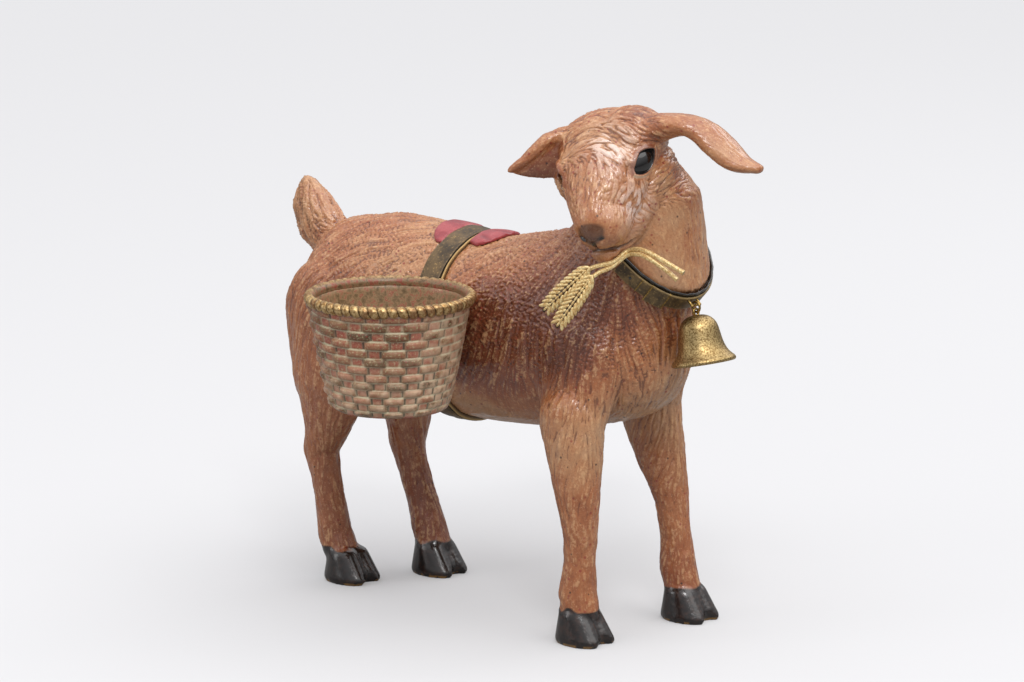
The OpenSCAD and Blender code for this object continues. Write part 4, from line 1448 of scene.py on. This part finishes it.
# radius and height, down the outside, round the lip and up the inside
BELL_PROFILE = [(2.0, -1.36), (3.4, -1.6), (5.0, -2.2), (6.4, -3.2), (7.6, -4.6), (8.4, -6.2)]
BELL_PROFILE += [(8.9, -8.2), (9.3, -10.6)]
BELL_PROFILE += [(9.7, -13), (10.3, -15.4), (11.1, -17.4), (12.2, -19.1), (13.3, -20.3)]
BELL_PROFILE += [(14.0, -21.0), (14.36, -21.7)]
BELL_PROFILE += [(14.36, -22.3), (14.0, -22.8), (13.4, -22.95), (12.8, -22.6), (12.3, -21.8)]
BELL_PROFILE += [(11.4, -20.0), (10.4, -17.8)]
BELL_PROFILE += [(9.5, -15.4), (8.9, -13), (8.5, -10.6), (8.1, -8.4), (7.6, -6.6), (6.8, -5.2)]
BELL_PROFILE += [(5.2, -3.7), (3.0, -2.7), (1.2, -2.45)]
WIRE_NODES = ["bell_ring", "bell_hanger", "bell_staple", "clapper", "clapper_pin"]
WIRE_NODES += ["buckle_frame", "buckle_tongue"]


def make_bell():
    rows = smooth_path([(r, 0, z) for r, z in BELL_PROFILE], 150)
    v, f = lathe(np.stack([rows[:, 0], rows[:, 2]], 1), 144)
    ob = new_object("bell_cast", v @ BELL_R.T + BELL_TOP, [g[::-1] for g in f], bell_brass, body="bell")
    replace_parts(ob, "bell_shell")


def repaint(nodes, material):
    """Gives plain CAD nodes a material; their shapes stay as they are."""
    for node in nodes:
        NODES[node].data.materials.clear()
        NODES[node].data.materials.append(material)


make_bell()
repaint(WIRE_NODES, wire_brass)
repaint(["leg_rods", "basket_pins"], brass("rod_steel", rgb(170, 170, 172), rgb(96, 96, 98), 0.8, 0.35))
repaint(["neck_dowel"], glossy("dowel_wood", rgb(186, 150, 104), 0.5, rgb(150, 112, 70)))

# ------------------------------------------------------------------ floor, light and camera


def look_at(ob, at):
    way = Vector(at) - ob.location
    ob.rotation_euler = way.to_track_quat("-Z", "Y").to_euler()


def lamp(name, place, size, power):
    """Rectangular lamp that points at the middle of the figure."""
    light = bpy.data.lights.new(name, "AREA")
    light.shape = "RECTANGLE"
    light.size, light.size_y = size
    light.energy = power
    ob = bpy.data.objects.new(name, light)
    bpy.context.scene.collection.objects.link(ob)
    ob.location = place
    look_at(ob, (0.01, 0, 0.13))


def make_floor():
    me = bpy.data.meshes.new("floor")
    s = 6.0
    me.from_pydata([(-s, -s, 0), (s, -s, 0), (s, s, 0), (-s, s, 0)], [], [(0, 1, 2, 3)])
    floor = bpy.data.objects.new("floor", me)
    bpy.context.scene.collection.objects.link(floor)
    mat = bpy.data.materials.new("floor_paper")
    mat.use_nodes = True
    nt = mat.node_tree
    shader = nt.nodes["Principled BSDF"]
    shader.inputs["Base Color"].default_value = (0.5, 0.5, 0.51, 1)
    shader.inputs["Roughness"].default_value = 0.9
    shader.inputs["Specular IOR Level"].default_value = 0.0
    shader.inputs["Emission Color"].default_value = (0.99, 0.99, 1.0, 1)
    shader.inputs["Emission Strength"].default_value = 0.21
    # the paper throws back less light than it shows, as it does under a small studio light
    dull = nt.nodes.new("ShaderNodeBsdfDiffuse")
    dull.inputs["Color"].default_value = (0.3, 0.3, 0.3, 1)
    path = nt.nodes.new("ShaderNodeLightPath")
    mix = nt.nodes.new("ShaderNodeMixShader")
    nt.links.new(path.outputs["Is Camera Ray"], mix.inputs[0])
    nt.links.new(dull.outputs[0], mix.inputs[1])
    nt.links.new(shader.outputs[0], mix.inputs[2])
    nt.links.new(mix.outputs[0], nt.nodes["Material Output"].inputs["Surface"])
    me.materials.append(mat)


def make_world():
    w = bpy.data.worlds.new("studio")
    bpy.context.scene.world = w
    w.use_nodes = True
    wt = w.node_tree
    bg = wt.nodes["Background"]
    # bright overhead, dim at the horizon
    coord = wt.nodes.new("ShaderNodeTexCoord")
    part = wt.nodes.new("ShaderNodeSeparateXYZ")
    ramp = wt.nodes.new("ShaderNodeMapRange")
    ramp.inputs["From Min"].default_value = 0.0
    ramp.inputs["From Max"].default_value = 1.0
    ramp.inputs["To Min"].default_value = 0.16
    ramp.inputs["To Max"].default_value = 1.3
    wt.links.new(coord.outputs["Generated"], part.inputs[0])
    wt.links.new(part.outputs["Z"], ramp.inputs["Value"])
    wt.links.new(ramp.outputs["Result"], bg.inputs["Strength"])
    bg.inputs["Color"].default_value = (0.98, 0.98, 1.0, 1)


def make_camera():
    scene = bpy.context.scene
    scene.view_settings.view_transform = "Standard"
    cam = bpy.data.cameras.new("camera")
    cam.lens = 154.5
    cam.sensor_width = 36.0
    cam.clip_end = 30
    ob = bpy.data.objects.new("camera", cam)
    scene.collection.objects.link(ob)
    scene.camera = ob
    az, el, far = math.radians(40), math.radians(12), 2.0
    aim = np.array(world([-1.3, -1.75, 122.1]))
    way = np.array([math.sin(az) * math.cos(el), -math.cos(az) * math.cos(el), math.sin(el)])
    ob.location = aim + far * way
    look_at(ob, aim)


def make_lamps():
    sun = bpy.data.lights.new("sun", "SUN")
    sun.energy = 1.0
    sun.angle = math.radians(60)
    sun.color = (1.0, 0.985, 0.96)
    ob = bpy.data.objects.new("sun", sun)
    bpy.context.scene.collection.objects.link(ob)
    ob.location = (0.8, 0.1, 1.7)
    look_at(ob, (0, 0, 0))
    lamp("key", (0.75, -0.75, 1.25), (0.35, 0.35), 6.5)
    lamp("side", (-0.9, -1.2, 0.6), (0.5, 0.8), 2.6)
    lamp("back", (0.2, 1.3, 1.0), (0.8, 0.4), 2.5)


make_floor()
make_world()
make_camera()
make_lamps()
